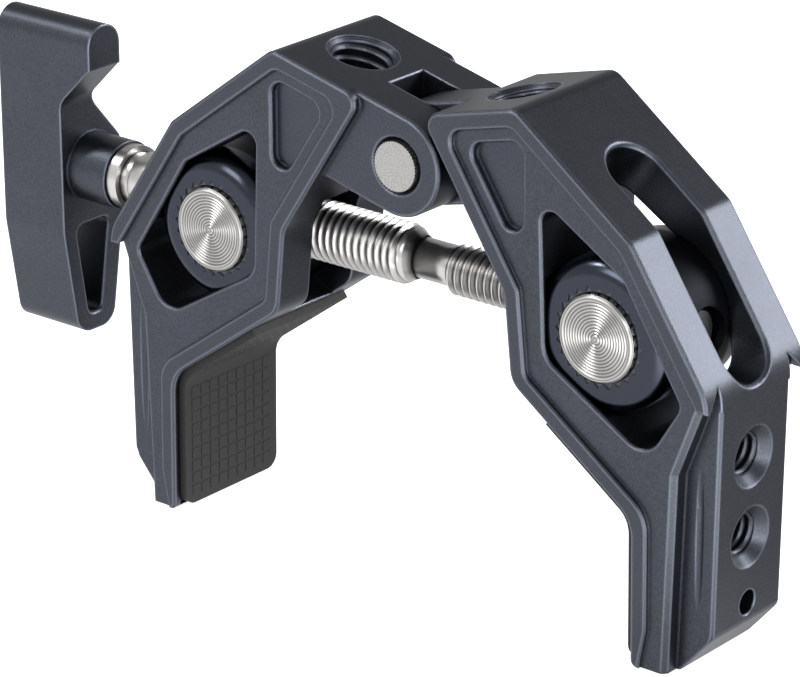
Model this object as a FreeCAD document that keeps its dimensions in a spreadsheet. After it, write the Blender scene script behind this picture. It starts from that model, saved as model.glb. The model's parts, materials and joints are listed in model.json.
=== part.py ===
import FreeCAD, Part
import math
import os
import Sketcher

# Crab clamp: two hinged jaws drawn together by a screw with opposite threads.
# Millimetres. The clamp stands on the feet of its jaws: Z up, screw along X,
# hinge pin along Y, origin midway between the jaws on the surface below them.
# Each jaw is drawn on the +X side; the left one is turned half a turn about Z.

SIZES = [
    ("jaw_width", 22.0, "jaw, over its side plates"),
    ("jaw_height", 72.1, "crown of the jaw above the feet"),
    ("crown_reach", 20.4, "crown corner from the hinge plane"),
    ("top_slope", 0.247, "rise of the top face per millimetre"),
    ("throat_reach", 4.9, "inner end of the top face"),
    ("shoulder_reach", 39.0, "corner between the two outer slopes"),
    ("shoulder_height", 58.2, "the same corner above the feet"),
    ("flank_reach", 51.2, "top of the outer face of the leg"),
    ("flank_height", 39.9, "the same corner above the feet"),
    ("shin_reach", 50.7, "foot end of the outer face of the leg"),
    ("shin_height", 5.7, "top of the slanted underside"),
    ("toe_reach", 45.8, "outer edge of the foot"),
    ("heel_reach", 40.0, "inner edge of the foot"),
    ("palm_reach", 39.7, "inner bend of the leg"),
    ("palm_height", 20.6, "the same bend above the feet"),
    ("chin_reach", 20.0, "lower inner corner of the body"),
    ("chin_height", 34.8, "the same corner above the feet"),
    ("cheek_reach", 18.8, "upper inner corner of the body"),
    ("cheek_height", 46.9, "the same corner above the feet"),
    ("throat_round", 2.0, "rounding of the throat"),
    ("crown_round", 2.4, "rounding of the crown and shoulder"),
    ("flank_round", 7.0, "rounding of the flank"),
    ("foot_round", 1.0, "rounding of the corners of the foot"),
    ("palm_round", 5.0, "rounding of the inner bend"),
    ("cheek_round", 3.6, "rounding of the chin and cheek"),
    ("edge_chamfer", 0.35, "broken edges of the side plates"),
    ("inner_chamfer", 0.25, "broken edges of the rim, window and small pocket"),
    ("slot_chamfer", 0.4, "broken edges of the screw slot"),
    ("leg_chamfer", 0.35, "broken edges of the outer face of the leg"),
    ("plate_chamfer", 0.7, "broken outer edge of the side plate"),
    ("rim_width", 2.45, "raised rim round the side plate"),
    ("rim_depth", 0.8, "step from the rim to the panel"),
    ("rim_foot", 6.1, "height where the rim runs out at the foot"),
    ("rim_end", 38.0, "lower end of the outer rim"),
    ("plate_reach", 46.0, "outer edge of the side plate at its bend"),
    ("plate_bend", 28.0, "height of that bend"),
    ("plate_foot", 45.0, "outer edge of the side plate at the foot"),
    ("spine_width", 15.2, "leg between the side plates"),
    ("notch_height", 37.4, "underside of the overhang beside the leg"),
    ("notch_rise", 3.5, "rise of that underside towards the leg"),
    ("flute_reach", 48.3, "shallow flute in the side of the leg"),
    ("flute_height", 19.0, "middle of the flute above the feet"),
    ("flute_half", 10.5, "half length of the flute"),
    ("flute_round", 0.9, "rounding of the flute"),
    ("flute_depth", 0.25, "depth of the flute at its middle"),
    ("pocket_margin", 4.36, "land round the small pocket"),
    ("pocket_reach", 21.3, "outer edge of the small pocket"),
    ("pocket_depth", 1.2, "small pocket below the panel"),
    ("pocket_round", 1.8, "corner rounding of the small pocket"),
    ("trunnion_reach", 33.0, "trunnion axis from the hinge plane"),
    ("screw_height", 43.6, "screw axis above the feet"),
    ("window_top_in", 8.9, "window: top corner, inward of the trunnion"),
    ("window_top_rise", 17.0, "window: top corner, above the screw"),
    ("window_bend_out", 4.2, "window: upper bend, outward"),
    ("window_bend_rise", 9.0, "window: upper bend, above the screw"),
    ("window_side_out", 13.6, "window: outer corner, outward"),
    ("window_side_drop", 5.9, "window: outer corner, below the screw"),
    ("window_low_out", 8.4, "window: lowest corner, outward"),
    ("window_low_drop", 14.3, "window: lowest corner, below the screw"),
    ("window_in_in", 8.1, "window: inner corner, inward"),
    ("window_in_drop", 4.5, "window: inner corner, below the screw"),
    ("window_round", 1.7, "corner rounding of the window"),
    ("window_low_round", 3.4, "rounding of its lower corners"),
    ("drum_radius", 10.6, "trunnion drum"),
    ("drum_length", 18.8, "drum, face to face"),
    ("drum_fillet", 2.8, "rounding of the drum"),
    ("core_radius", 6.05, "steel cross nut in the drum"),
    ("core_length", 20.2, "cross nut, face to face"),
    ("core_chamfer", 0.25, "broken edges of the cross nut"),
    ("star_radius", 6.3, "serrated recess round the cross nut, at its roots"),
    ("star_tip", 6.95, "serrated recess, at its tips"),
    ("star_depth", 0.8, "serrated recess"),
    ("star_teeth", 24, "teeth of the serrated recess"),
    ("tooth_low", 6.0, "inner end of one tooth"),
    ("tooth_half", 0.9, "half width of one tooth there"),
    ("running_gap", 0.08, "radial running clearance"),
    ("end_gap", 0.1, "clearance at the ends of turning pieces"),
    ("slot_width", 9.2, "screw slot through the jaw"),
    ("slot_reach", 32.2, "centre of the upper end of the slot"),
    ("slot_depth", 8.0, "depth of that end below the outer slope"),
    ("swing_slope", 0.62, "lower side of the inner slot, rise per mm"),
    ("inner_slot_rise", 6.4, "top of the inner slot above the screw"),
    ("hinge_height", 59.8, "hinge pin above the feet"),
    ("pin_radius", 3.5, "hinge pin"),
    ("pin_length", 20.0, "hinge pin, end to end"),
    ("pin_chamfer", 0.6, "countersink of the pin hole"),
    ("ear_width", 19.3, "over the two ears of the left jaw"),
    ("clevis_width", 7.2, "gap between the ears"),
    ("clevis_reach", 6.2, "end wall of that gap from the pin"),
    ("strap_length", 14.0, "ears and knuckle, from the pin into the jaw"),
    ("knuckle_gap", 0.35, "round the knuckle in the clevis"),
    ("top_hole_reach", 13.6, "large threaded hole from the hinge plane"),
    ("top_hole_radius", 4.4, "large threaded hole, at its pitch line"),
    ("top_hole_depth", 9.0, "large threaded hole"),
    ("top_sink_radius", 4.95, "recess at its mouth"),
    ("top_sink_depth", 0.25, "recess at its mouth"),
    ("top_cone_radius", 4.8, "cone below that recess"),
    ("side_hole_radius", 2.9, "small threaded holes, at their pitch line"),
    ("side_hole_depth", 9.0, "small threaded holes"),
    ("side_sink_radius", 4.25, "countersink at their mouths"),
    ("side_hole_high", 29.0, "upper small hole above the feet"),
    ("side_hole_low", 17.7, "lower small hole above the feet"),
    ("plain_hole_radius", 1.75, "plain hole near the foot"),
    ("plain_hole_height", 8.4, "plain hole above the feet"),
    ("plain_hole_depth", 6.0, "plain hole"),
    ("pad_width", 19.5, "rubber pad"),
    ("pad_thickness", 1.6, "rubber pad"),
    ("pad_recess", 0.5, "how deep the pad is let into the jaw"),
    ("pad_gap", 0.05, "glue gap round the pad"),
    ("pad_end", 7.0, "upper end of the pad from the chin"),
    ("pad_foot", 0.5, "lower end of the pad above the feet"),
    ("pad_round", 2.0, "lower corners of the pad"),
    ("screw_radius", 4.25, "large thread, outside"),
    ("screw_start", -54.1, "shank of the screw at the handle"),
    ("screw_end", -5.8, "end of the large thread"),
    ("neck_radius", 2.85, "neck between the threads"),
    ("neck_start", -3.2, "neck, handle side"),
    ("neck_end", 2.7, "neck, far side"),
    ("tail_radius", 3.75, "small thread, outside"),
    ("tail_end", 42.0, "far end of the small thread"),
    ("thread_chamfer", 0.8, "chamfer at thread ends"),
    ("journal_radius", 3.1, "journal beside the handle"),
    ("journal_start", -57.6, "end of the handle hub"),
    ("tang_radius", 2.6, "tang of the screw in the handle"),
    ("tang_length", 11.0, "tang of the screw in the handle"),
    ("washer_radius", 4.7, "thrust washer"),
    ("washer_thickness", 1.8, "thrust washer"),
    ("hub_radius", 5.05, "hub of the handle"),
    ("lever_outer", -76.9, "outer face of the lever"),
    ("lever_inner", -64.8, "inner face of the lever"),
    ("lever_lip", -58.8, "inner end of the upper arm"),
    ("lever_half", 6.1, "half width of the lower arm"),
    ("arm_width", 6.3, "width of the upper arm"),
    ("lever_top", 22.85, "top of the lever above the screw"),
    ("lever_bottom", 25.1, "bottom of the lever below the screw"),
    ("lip_rise", 16.7, "lower end of the lip above the screw"),
    ("waist_rise", 10.5, "narrow part of the lever above the screw"),
    ("taper_drop", 9.0, "where the lower arm begins to taper"),
    ("tip_half", 3.6, "half width near the bottom"),
    ("loop_top", 8.6, "top of the opening below the screw"),
    ("loop_half", 3.4, "half width of the opening"),
    ("loop_bottom", 22.4, "bottom of the opening below the screw"),
    ("loop_tip", 1.3, "half width of the opening at its bottom"),
    ("loop_round", 1.2, "corner rounding of the opening"),
    ("lever_chamfer", 0.35, "broken edges of the lever"),
]

doc = FreeCAD.newDocument("crab_clamp")
sheet = doc.addObject("Spreadsheet::Sheet", "Sizes")


def fill_sheet():
    for row, (name, value, note) in enumerate(SIZES, start=1):
        sheet.set(f"A{row}", name)
        sheet.set(f"B{row}", str(value))
        sheet.set(f"C{row}", note)
        sheet.setAlias(f"B{row}", name)
    doc.recompute()


def number(expression):
    return float(sheet.evalExpression(expression))


def size(name):
    return f"Sizes.{name}"


# Corners of the jaw outline, as expressions of the driving sizes
TOP_NORM = "sqrt(1 + Sizes.top_slope ^ 2)"


def top_height(reach):
    return f"(Sizes.jaw_height - Sizes.top_slope * (Sizes.crown_reach - {reach}))"


HUB_RADIUS = f"(({top_height('0')} - Sizes.hinge_height) / {TOP_NORM})"
THROAT = (size("throat_reach"), top_height(size("throat_reach")))
CROWN = (size("crown_reach"), size("jaw_height"))
SHOULDER = (size("shoulder_reach"), size("shoulder_height"))
FLANK = (size("flank_reach"), size("flank_height"))
SHIN = (size("shin_reach"), size("shin_height"))
TOE = (size("toe_reach"), "0")
HEEL = (size("heel_reach"), "0")
PALM = (size("palm_reach"), size("palm_height"))
CHIN = (size("chin_reach"), size("chin_height"))
CHEEK = (size("cheek_reach"), size("cheek_height"))


def unit(start, end):
    """The unit vector from one corner to another, as two expressions."""
    run = f"({end[0]} - {start[0]})"
    rise = f"({end[1]} - {start[1]})"
    length = f"sqrt({run} ^ 2 + {rise} ^ 2)"
    return f"({run} / {length})", f"({rise} / {length})"


def along(start, direction, forward, left="0"):
    """A corner reached from start by going forward, then to the left."""
    east, north = direction
    across = f"{start[0]} + {east} * ({forward}) - {north} * ({left})"
    up = f"{start[1]} + {north} * ({forward}) + {east} * ({left})"
    return f"({across})", f"({up})"


# How near two places are taken to be the same, in millimetres
CLOSE = 0.001


# Bodies, planes and sketches
def new_body(name):
    body = doc.addObject("PartDesign::Body", name)
    body.Label = name
    return body


def origin_feature(body, role):
    for feature in body.Origin.OriginFeatures:
        if feature.Role == role:
            return feature
    raise ValueError(role)


def new_sketch(body, name, role, offset=None):
    sketch = body.newObject("Sketcher::SketchObject", f"{body.Name}_{name}_sketch")
    sketch.AttachmentSupport = [(origin_feature(body, role), "")]
    sketch.MapMode = "FlatFace"
    if offset is not None:
        sketch.setExpression("AttachmentOffset.Base.z", offset)
    return sketch


def constrain(sketch, expression, *parts):
    index = sketch.addConstraint(Sketcher.Constraint(*parts, number(expression)))
    sketch.setExpression(f"Constraints[{index}]", expression)


def place_point(sketch, geometry, position, corner):
    constrain(sketch, corner[0], "DistanceX", -1, 1, geometry, position)
    constrain(sketch, corner[1], "DistanceY", -1, 1, geometry, position)


def vector(corner):
    return FreeCAD.Vector(number(corner[0]), number(corner[1]), 0)


def add_corner(sketch, corner, known):
    if corner not in known:
        index = sketch.addGeometry(Part.Point(vector(corner)), True)
        place_point(sketch, index, 1, corner)
        known[corner] = index
    return known[corner]


def crossing(first, second):
    """Where two lines cross, each given by a point and a direction."""
    (base, way), (other, heading) = first, second
    turn = way.x * heading.y - way.y * heading.x
    gap = other - base
    reach = (gap.x * heading.y - gap.y * heading.x) / turn
    return base + way * reach


def real_line(line):
    start, end, shift = line
    base = vector(start)
    way = (vector(end) - base).normalize()
    if shift is not None:
        base = base + FreeCAD.Vector(-way.y, way.x, 0) * number(shift)
    return base, way


def draw_loop(sketch, lines, rounds):
    """A closed outline of straight lines with rounded or sharp corners.

    Each line is (corner, corner, shift): it runs through the two corners, or
    beside them, shifted to the left by shift. rounds holds the radius at the
    end of each line, or None where the corner is sharp.
    """
    count = len(lines)
    real = [real_line(line) for line in lines]
    corners = [crossing(real[i], real[(i + 1) % count]) for i in range(count)]
    entry = []
    leave = []
    for i in range(count):
        way_in = real[i][1]
        way_out = real[(i + 1) % count][1]
        trim = 0.0
        if rounds[i] is not None:
            trim = number(rounds[i]) * math.tan(way_in.getAngle(way_out) / 2)
        entry.append(corners[i] - way_in * trim)
        leave.append(corners[i] + way_out * trim)
    segments = []
    for i in range(count):
        segment = Part.LineSegment(leave[i - 1], entry[i])
        segments.append(sketch.addGeometry(segment, False))
    known = {}
    for i, (start, end, shift) in enumerate(lines):
        first = add_corner(sketch, start, known)
        last = add_corner(sketch, end, known)
        if shift is None:
            sketch.addConstraint(Sketcher.Constraint("PointOnObject", first, 1, segments[i]))
            sketch.addConstraint(Sketcher.Constraint("PointOnObject", last, 1, segments[i]))
        else:
            guide = Part.LineSegment(vector(start), vector(end))
            guide = sketch.addGeometry(guide, True)
            sketch.addConstraint(Sketcher.Constraint("Coincident", guide, 1, first, 1))
            sketch.addConstraint(Sketcher.Constraint("Coincident", guide, 2, last, 1))
            sketch.addConstraint(Sketcher.Constraint("Parallel", guide, segments[i]))
            constrain(sketch, f"abs({shift})", "Distance", first, 1, segments[i])
    for i in range(count):
        line, following = segments[i], segments[(i + 1) % count]
        if rounds[i] is None:
            sketch.addConstraint(Sketcher.Constraint("Coincident", line, 2, following, 1))
        else:
            join_round(sketch, line, following, entry[i], leave[i], corners[i], rounds[i])


def join_round(sketch, line, following, entry, leave, corner, radius):
    """An arc tangent to two lines, between their facing ends."""
    turn = (corner - entry).cross(leave - corner).z
    middle = (entry + leave) / 2
    chord = (leave - entry).Length
    sag = number(radius) - math.sqrt(max(number(radius) ** 2 - chord ** 2 / 4, 0.0))
    peak = middle + (corner - middle).normalize() * sag
    arc = sketch.addGeometry(Part.Arc(entry, peak, leave), False)
    first, last = (1, 2) if turn > 0 else (2, 1)
    sketch.addConstraint(Sketcher.Constraint("Tangent", line, 2, arc, first))
    sketch.addConstraint(Sketcher.Constraint("Tangent", arc, last, following, 1))
    constrain(sketch, radius, "Radius", arc)


def polygon(*corners):
    """The lines of a closed outline through the given corners."""
    return [(corners[i], corners[(i + 1) % len(corners)], None) for i in range(len(corners))]


def draw_polygon(sketch, corners, radius=None):
    draw_loop(sketch, polygon(*corners), [radius] * len(corners))


def draw_circle(sketch, centre, radius):
    circle = Part.Circle(vector(centre), FreeCAD.Vector(0, 0, 1), number(radius))
    index = sketch.addGeometry(circle, False)
    place_point(sketch, index, 3, centre)
    constrain(sketch, radius, "Radius", index)


def draw_axis(sketch, start, end):
    line = sketch.addGeometry(Part.LineSegment(vector(start), vector(end)), True)
    place_point(sketch, line, 1, start)
    place_point(sketch, line, 2, end)


# Features
def extrude(kind, body, name, sketch, length, side="One side", reverse=False):
    before = body.Shape.Volume if kind == "Pocket" else 0.0
    feature = body.newObject(f"PartDesign::{kind}", f"{body.Name}_{name}")
    feature.Profile = sketch
    feature.SideType = side
    feature.Reversed = reverse
    if length is None:
        feature.Type = "ThroughAll"
    else:
        feature.setExpression("Length", length)
    doc.recompute()
    if kind == "Pocket" and feature.Shape.Volume > before - 0.01:
        raise ValueError(f"{feature.Name} cuts nothing")
    return feature


def pad(body, name, sketch, length, side="Symmetric", reverse=False):
    return extrude("Pad", body, name, sketch, length, side, reverse)


def pocket(body, name, sketch, length=None, side="Symmetric", reverse=False):
    return extrude("Pocket", body, name, sketch, length, side, reverse)


def mirror_across(body, name, features):
    """The same cuts on the other side of the middle plane."""
    before = body.Shape.Volume
    mirrored = body.newObject("PartDesign::Mirrored", f"{body.Name}_{name}")
    mirrored.Originals = features
    mirrored.MirrorPlane = (origin_feature(body, "XZ_Plane"), [""])
    body.Tip = mirrored
    doc.recompute()
    if body.Shape.Volume > before - 0.01:
        raise ValueError(f"{mirrored.Name} cuts nothing")


def repeat_round_y(body, name, feature, count):
    """The same cut repeated all round the Y axis."""
    pattern = body.newObject("PartDesign::PolarPattern", f"{body.Name}_{name}")
    pattern.Originals = [feature]
    pattern.Axis = (origin_feature(body, "Y_Axis"), [""])
    pattern.Angle = 360
    pattern.setExpression("Occurrences", count)
    body.Tip = pattern
    doc.recompute()


def spin(kind, body, name, sketch, angle=None):
    """A turned feature: a full turn, or an angle to both sides of the sketch."""
    feature = body.newObject(f"PartDesign::{kind}", f"{body.Name}_{name}")
    feature.Profile = sketch
    feature.ReferenceAxis = (sketch, ["Axis0"])
    feature.Angle = 360
    if angle is not None:
        feature.Midplane = True
        feature.setExpression("Angle", angle)
    doc.recompute()
    return feature


def points_of(edge):
    """Both ends and the middle of an edge."""
    first, last = edge.ParameterRange
    return [edge.valueAt(first), edge.valueAt((first + last) / 2), edge.valueAt(last)]


def is_flat(face):
    return face.Surface.TypeId == "Part::GeomPlane"


def at_level(point, level):
    """Whether a point lies this far from the middle plane, on either side."""
    return abs(abs(point.y) - level) < CLOSE


def side_faces(shape, level):
    """The flat faces this far from the middle plane."""
    found = []
    for face in shape.Faces:
        if is_flat(face) and all(at_level(vertex.Point, level) for vertex in face.Vertexes):
            found.append(face)
    return found


def end_faces(shape, reach):
    """The flat faces at this place along the screw."""
    found = []
    for face in shape.Faces:
        if is_flat(face) and all(abs(v.Point.x - reach) < CLOSE for v in face.Vertexes):
            found.append(face)
    return found


def edges_of(parts):
    return [edge for part in parts for edge in part.Edges]


def opening_edges(faces):
    """The edges of the openings in some faces."""
    wires = [(face, wire) for face in faces for wire in face.Wires]
    return edges_of([wire for face, wire in wires if not wire.isSame(face.OuterWire)])


def dress(kind, body, name, edges, amount):
    """Chamfer or round some edges of the body."""
    base = body.Tip
    names = []
    for index, edge in enumerate(base.Shape.Edges, start=1):
        if any(edge.isSame(other) for other in edges):
            names.append(f"Edge{index}")
    feature = body.newObject(f"PartDesign::{kind}", f"{body.Name}_{name}")
    feature.Base = (base, names)
    feature.setExpression("Size" if kind == "Chamfer" else "Radius", amount)
    doc.recompute()
    if "Invalid" in feature.State or feature.Shape.isNull():
        raise ValueError(f"{feature.Name} failed on {len(names)} edges")


# The jaws
HALF_WIDTH = "Sizes.jaw_width / 2"
PANEL_LEVEL = "(Sizes.jaw_width / 2 - Sizes.rim_depth)"
NOTCH_REACH = "(Sizes.plate_reach + 0.375 * (Sizes.notch_height - Sizes.plate_bend))"
FAR = "(Sizes.flank_reach + 10)"
BELOW = "(0 - 5)"
TRUNNION = (size("trunnion_reach"), size("screw_height"))


def from_trunnion(outward, upward):
    return f"(Sizes.trunnion_reach + {outward})", f"(Sizes.screw_height + {upward})"


def jaw_block(body):
    """The plain block of the jaw in its outline, with broken edges."""
    corners = [HEEL, TOE, SHIN, FLANK, SHOULDER, CROWN, THROAT, CHEEK, CHIN, PALM]
    rounds = ["foot", "", "flank", "crown", "crown", "throat", "cheek", "cheek", "palm", "foot"]
    rounds = [size(f"{name}_round") if name else None for name in rounds]
    sketch = new_sketch(body, "block", "XZ_Plane")
    draw_loop(sketch, polygon(*corners), rounds)
    pad(body, "block", sketch, size("jaw_width"))
    sides = side_faces(body.Tip.Shape, number(HALF_WIDTH))
    dress("Chamfer", body, "edges", edges_of(sides), size("edge_chamfer"))


def strap(body, width):
    """The hinge eye and the strap that joins it to the block."""
    pivot = ("0", size("hinge_height"))
    slope = (f"(1 / {TOP_NORM})", f"(Sizes.top_slope / {TOP_NORM})")
    top = along(pivot, slope, "0", HUB_RADIUS)
    bottom = along(pivot, slope, "0", f"0 - {HUB_RADIUS}")
    far_bottom = along(bottom, slope, size("strap_length"))
    far_top = along(top, slope, size("strap_length"))
    sketch = new_sketch(body, "strap", "XZ_Plane")
    draw_polygon(sketch, [bottom, far_bottom, far_top, top])
    pad(body, "strap", sketch, width)
    sketch = new_sketch(body, "eye", "XZ_Plane")
    draw_circle(sketch, pivot, HUB_RADIUS)
    pad(body, "eye", sketch, width)
    sides = side_faces(body.Tip.Shape, number(width) / 2)
    dress("Chamfer", body, "eye_edges", edges_of(sides), size("edge_chamfer"))


def clevis(body):
    """The gap between the ears, for the knuckle of the other jaw."""
    pivot = ("0", size("hinge_height"))
    room = f"({HUB_RADIUS} + Sizes.knuckle_gap)"
    sketch = new_sketch(body, "knuckle_room", "XZ_Plane")
    draw_circle(sketch, pivot, room)
    pocket(body, "knuckle_room", sketch, size("clevis_width"))
    wall = size("clevis_reach")
    low = f"(Sizes.hinge_height + sqrt({room} ^ 2 - {wall} ^ 2))"
    high = "(Sizes.jaw_height + 5)"
    left = "(0 - 2 * Sizes.clevis_reach)"
    sketch = new_sketch(body, "clevis", "XZ_Plane")
    draw_polygon(sketch, [(left, low), (wall, low), (wall, high), (left, high)])
    pocket(body, "clevis", sketch, size("clevis_width"))


def pin_hole(body, gap):
    sketch = new_sketch(body, "pin_hole", "XZ_Plane")
    draw_circle(sketch, ("0", size("hinge_height")), f"(Sizes.pin_radius + {gap})")
    pocket(body, "pin_hole", sketch)


def pin_countersink(body, level):
    rings = []
    for edge in body.Tip.Shape.Edges:
        centre = getattr(edge.Curve, "Center", None)
        if centre is None or not edge.Closed:
            continue
        if at_level(centre, level) and abs(centre.z - number(size("hinge_height"))) < CLOSE:
            rings.append(edge)
    dress("Chamfer", body, "pin_countersink", rings, size("pin_chamfer"))


def leg_sides(body):
    """The leg stands narrower than its side plates, below the overhang."""
    bend = (size("plate_reach"), size("plate_bend"))
    notch = (NOTCH_REACH, size("notch_height"))
    foot = (size("plate_foot"), BELOW)
    outline = [foot, (FAR, BELOW), (FAR, size("notch_height")), notch, bend]
    sketch = new_sketch(body, "leg_side", "XZ_Plane", "Sizes.spine_width / 2")
    draw_polygon(sketch, outline)
    cut = pocket(body, "leg_side", sketch, size("jaw_width"), "One side", True)
    mirror_across(body, "leg_sides", [cut])
    leg_edges(body)
    sketch = new_sketch(body, "overhang", "YZ_Plane", NOTCH_REACH)
    near = "(0 - Sizes.spine_width / 2)"
    edge = "(0 - Sizes.jaw_width / 2)"
    high = "(Sizes.notch_height + Sizes.notch_rise)"
    low = "(Sizes.notch_height - Sizes.notch_rise)"
    draw_polygon(sketch, [(near, low), (near, high), (edge, size("notch_height")), (edge, low)])
    slant = pocket(body, "overhang", sketch, size("flank_reach"), "One side", True)
    mirror_across(body, "overhangs", [slant])


# The turn of the cutter that makes the flute, past both of its ends
FLUTE_ANGLE = "4.8 * 180 / pi * Sizes.flute_depth / Sizes.flute_half * 1 deg"


def flute(body, name, sign):
    """A long shallow flute in one side of the leg, running out at both ends."""
    sweep = "Sizes.flute_half ^ 2 / (2 * Sizes.flute_depth)"
    floor = "Sizes.spine_width / 2 - Sizes.flute_depth"
    centre = (size("flute_reach"), f"({sign} * ({floor} + Sizes.flute_round))")
    axis = f"({sign} * (Sizes.spine_width / 2 + {sweep}))"
    sketch = new_sketch(body, name, "XY_Plane", size("flute_height"))
    draw_axis(sketch, (size("plate_reach"), axis), (size("flank_reach"), axis))
    draw_circle(sketch, centre, size("flute_round"))
    spin("Groove", body, name, sketch, FLUTE_ANGLE)


def side_panel(body):
    """The sunk panel inside the rim, and the small pocket in it."""
    rim = size("rim_width")
    inner_foot = (f"(Sizes.heel_reach + Sizes.rim_width)", size("rim_foot"))
    foot_in = ("(Sizes.heel_reach + 0.3)", BELOW)
    lines = [
        (foot_in, (FAR, BELOW), None),
        ((FAR, BELOW), (FAR, size("rim_end")), None),
        ((FAR, size("rim_end")), (size("palm_reach"), size("rim_end")), None),
        (FLANK, SHOULDER, rim),
        (SHOULDER, CROWN, rim),
        (CROWN, THROAT, rim),
        (THROAT, CHEEK, rim),
        (CHEEK, CHIN, rim),
        (CHIN, PALM, rim),
        (PALM, HEEL, rim),
        (inner_foot, foot_in, None),
    ]
    corner = size("throat_round")
    rounds = [None, None, size("foot_round"), corner, corner, corner, corner, corner,
              size("palm_round"), size("palm_round"), None]
    sketch = new_sketch(body, "panel", "XZ_Plane", PANEL_LEVEL)
    draw_loop(sketch, lines, rounds)
    panel = pocket(body, "panel", sketch, size("rim_width"), "One side", True)
    margin = size("pocket_margin")
    low = (size("pocket_reach"), size("screw_height"))
    high = (size("pocket_reach"), size("jaw_height"))
    floor = f"({PANEL_LEVEL} - Sizes.pocket_depth)"
    sketch = new_sketch(body, "small_pocket", "XZ_Plane", floor)
    lines = [(low, high, None), (CROWN, THROAT, margin), (THROAT, CHEEK, margin)]
    draw_loop(sketch, lines, [size("pocket_round")] * 3)
    small = pocket(body, "small_pocket", sketch, size("jaw_width"), "One side", True)
    mirror_across(body, "panels", [panel, small])


def panel_edges(body):
    """Broken edges of the rim, the window and the small pocket."""
    edges = []
    for face in side_faces(body.Tip.Shape, number(HALF_WIDTH)):
        for edge in face.Edges:
            if borders_wall(body.Tip.Shape, edge):
                edges.append(edge)
    edges += opening_edges(side_faces(body.Tip.Shape, number(PANEL_LEVEL)))
    dress("Chamfer", body, "panel_edges", edges, size("inner_chamfer"))


def borders_wall(shape, edge):
    """Whether one of the faces at an edge stands square to the side plates."""
    middle = points_of(edge)[1]
    for face in shape.ancestorsOfType(edge, Part.Face):
        if abs(face.normalAt(*face.Surface.parameter(middle)).y) < CLOSE:
            return True
    return False


def plate_edges(body):
    """The broken outer edge of each side plate, beside the leg."""
    level = number(PANEL_LEVEL)
    inward = number(size("plate_foot")) - 0.1
    top = number(size("notch_height"))
    edges = []
    for edge in body.Tip.Shape.Edges:
        points = points_of(edge)
        if all(at_level(p, level) and p.x > inward and p.z < top + CLOSE for p in points):
            edges.append(edge)
    dress("Chamfer", body, "plate_edges", edges, size("plate_chamfer"))


def leg_edges(body):
    """The broken edges of the outer face of the leg."""
    level = number("Sizes.spine_width / 2")
    inward = number(size("shin_reach")) - 0.5
    edges = []
    for edge in body.Tip.Shape.Edges:
        straight = edge.Curve.TypeId == "Part::GeomLine"
        if straight and all(at_level(p, level) and p.x > inward for p in points_of(edge)):
            edges.append(edge)
    dress("Chamfer", body, "leg_edges", edges, size("leg_chamfer"))


def window(body):
    """The opening through the jaw that shows the trunnion."""
    top = from_trunnion("(0 - Sizes.window_top_in)", size("window_top_rise"))
    bend = from_trunnion(size("window_bend_out"), size("window_bend_rise"))
    side = from_trunnion(size("window_side_out"), "(0 - Sizes.window_side_drop)")
    low = from_trunnion(size("window_low_out"), "(0 - Sizes.window_low_drop)")
    inner = from_trunnion("(0 - Sizes.window_in_in)", "(0 - Sizes.window_in_drop)")
    small = size("window_round")
    large = size("window_low_round")
    sketch = new_sketch(body, "window", "XZ_Plane")
    draw_loop(sketch, polygon(low, side, bend, top, inner), [small, small, small, large, large])
    pocket(body, "window", sketch)


def drum_seat(body):
    """The round seat in which the trunnion drum turns, behind thin lips."""
    sketch = new_sketch(body, "drum_seat", "XZ_Plane")
    draw_circle(sketch, TRUNNION, "(Sizes.drum_radius + Sizes.running_gap)")
    pocket(body, "drum_seat", sketch, "(Sizes.drum_length + 2 * Sizes.end_gap)")


def screw_slot(body):
    """The slot that lets the screw swing in the outer and inner walls."""
    half = "(Sizes.slot_width / 2)"
    slope = unit(SHOULDER, CROWN)
    share = "((Sizes.slot_reach - Sizes.shoulder_reach) / (Sizes.crown_reach - Sizes.shoulder_reach))"
    lift = f"{share} * (Sizes.jaw_height - Sizes.shoulder_height)"
    centre = (size("slot_reach"), f"(Sizes.shoulder_height + {lift})")
    deep = along(centre, slope, "0", size("slot_depth"))
    out = along(centre, slope, "0", "(0 - Sizes.slot_depth)")
    level = (FAR, size("screw_height"))
    sketch = new_sketch(body, "outer_slot", "XZ_Plane")
    draw_polygon(sketch, [TRUNNION, level, (FAR, out[1]), out, deep])
    pocket(body, "outer_slot", sketch, size("slot_width"))
    sketch = new_sketch(body, "slot_top", "XZ_Plane")
    draw_axis(sketch, deep, out)
    side_deep = along(deep, slope, half)
    side_out = along(out, slope, half)
    draw_polygon(sketch, [deep, out, side_out, side_deep])
    spin("Groove", body, "slot_top", sketch)
    sketch = new_sketch(body, "slot_foot", "YZ_Plane", size("trunnion_reach"))
    draw_circle(sketch, ("0", size("screw_height")), half)
    pocket(body, "slot_foot", sketch, size("flank_reach"), "One side", True)
    inner_slot(body)


def is_outer_slope(face):
    """Whether a face is one of the outer slopes or a rounding between them."""
    if is_flat(face):
        normal = face.normalAt(0, 0)
        return abs(normal.y) < CLOSE and normal.x > 0.3
    radius = getattr(face.Surface, "Radius", None)
    return radius in (number(size("crown_round")), number(size("flank_round")))


def slot_edges(body):
    """The broken edges of the screw slot where it opens in the outer slopes."""
    half = number("Sizes.slot_width / 2")
    axis = vector(TRUNNION)
    clear = number(size("drum_radius")) + 1
    edges = []
    for edge in body.Tip.Shape.Edges:
        points = points_of(edge)
        if any(abs(p.y) > half + CLOSE for p in points):
            continue
        if any(math.hypot(p.x - axis.x, p.z - axis.y) < clear for p in points):
            continue
        faces = body.Tip.Shape.ancestorsOfType(edge, Part.Face)
        if len({is_outer_slope(face) for face in faces}) == 2:
            edges.append(edge)
    dress("Chamfer", body, "slot_edges", edges, size("slot_chamfer"))


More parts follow.
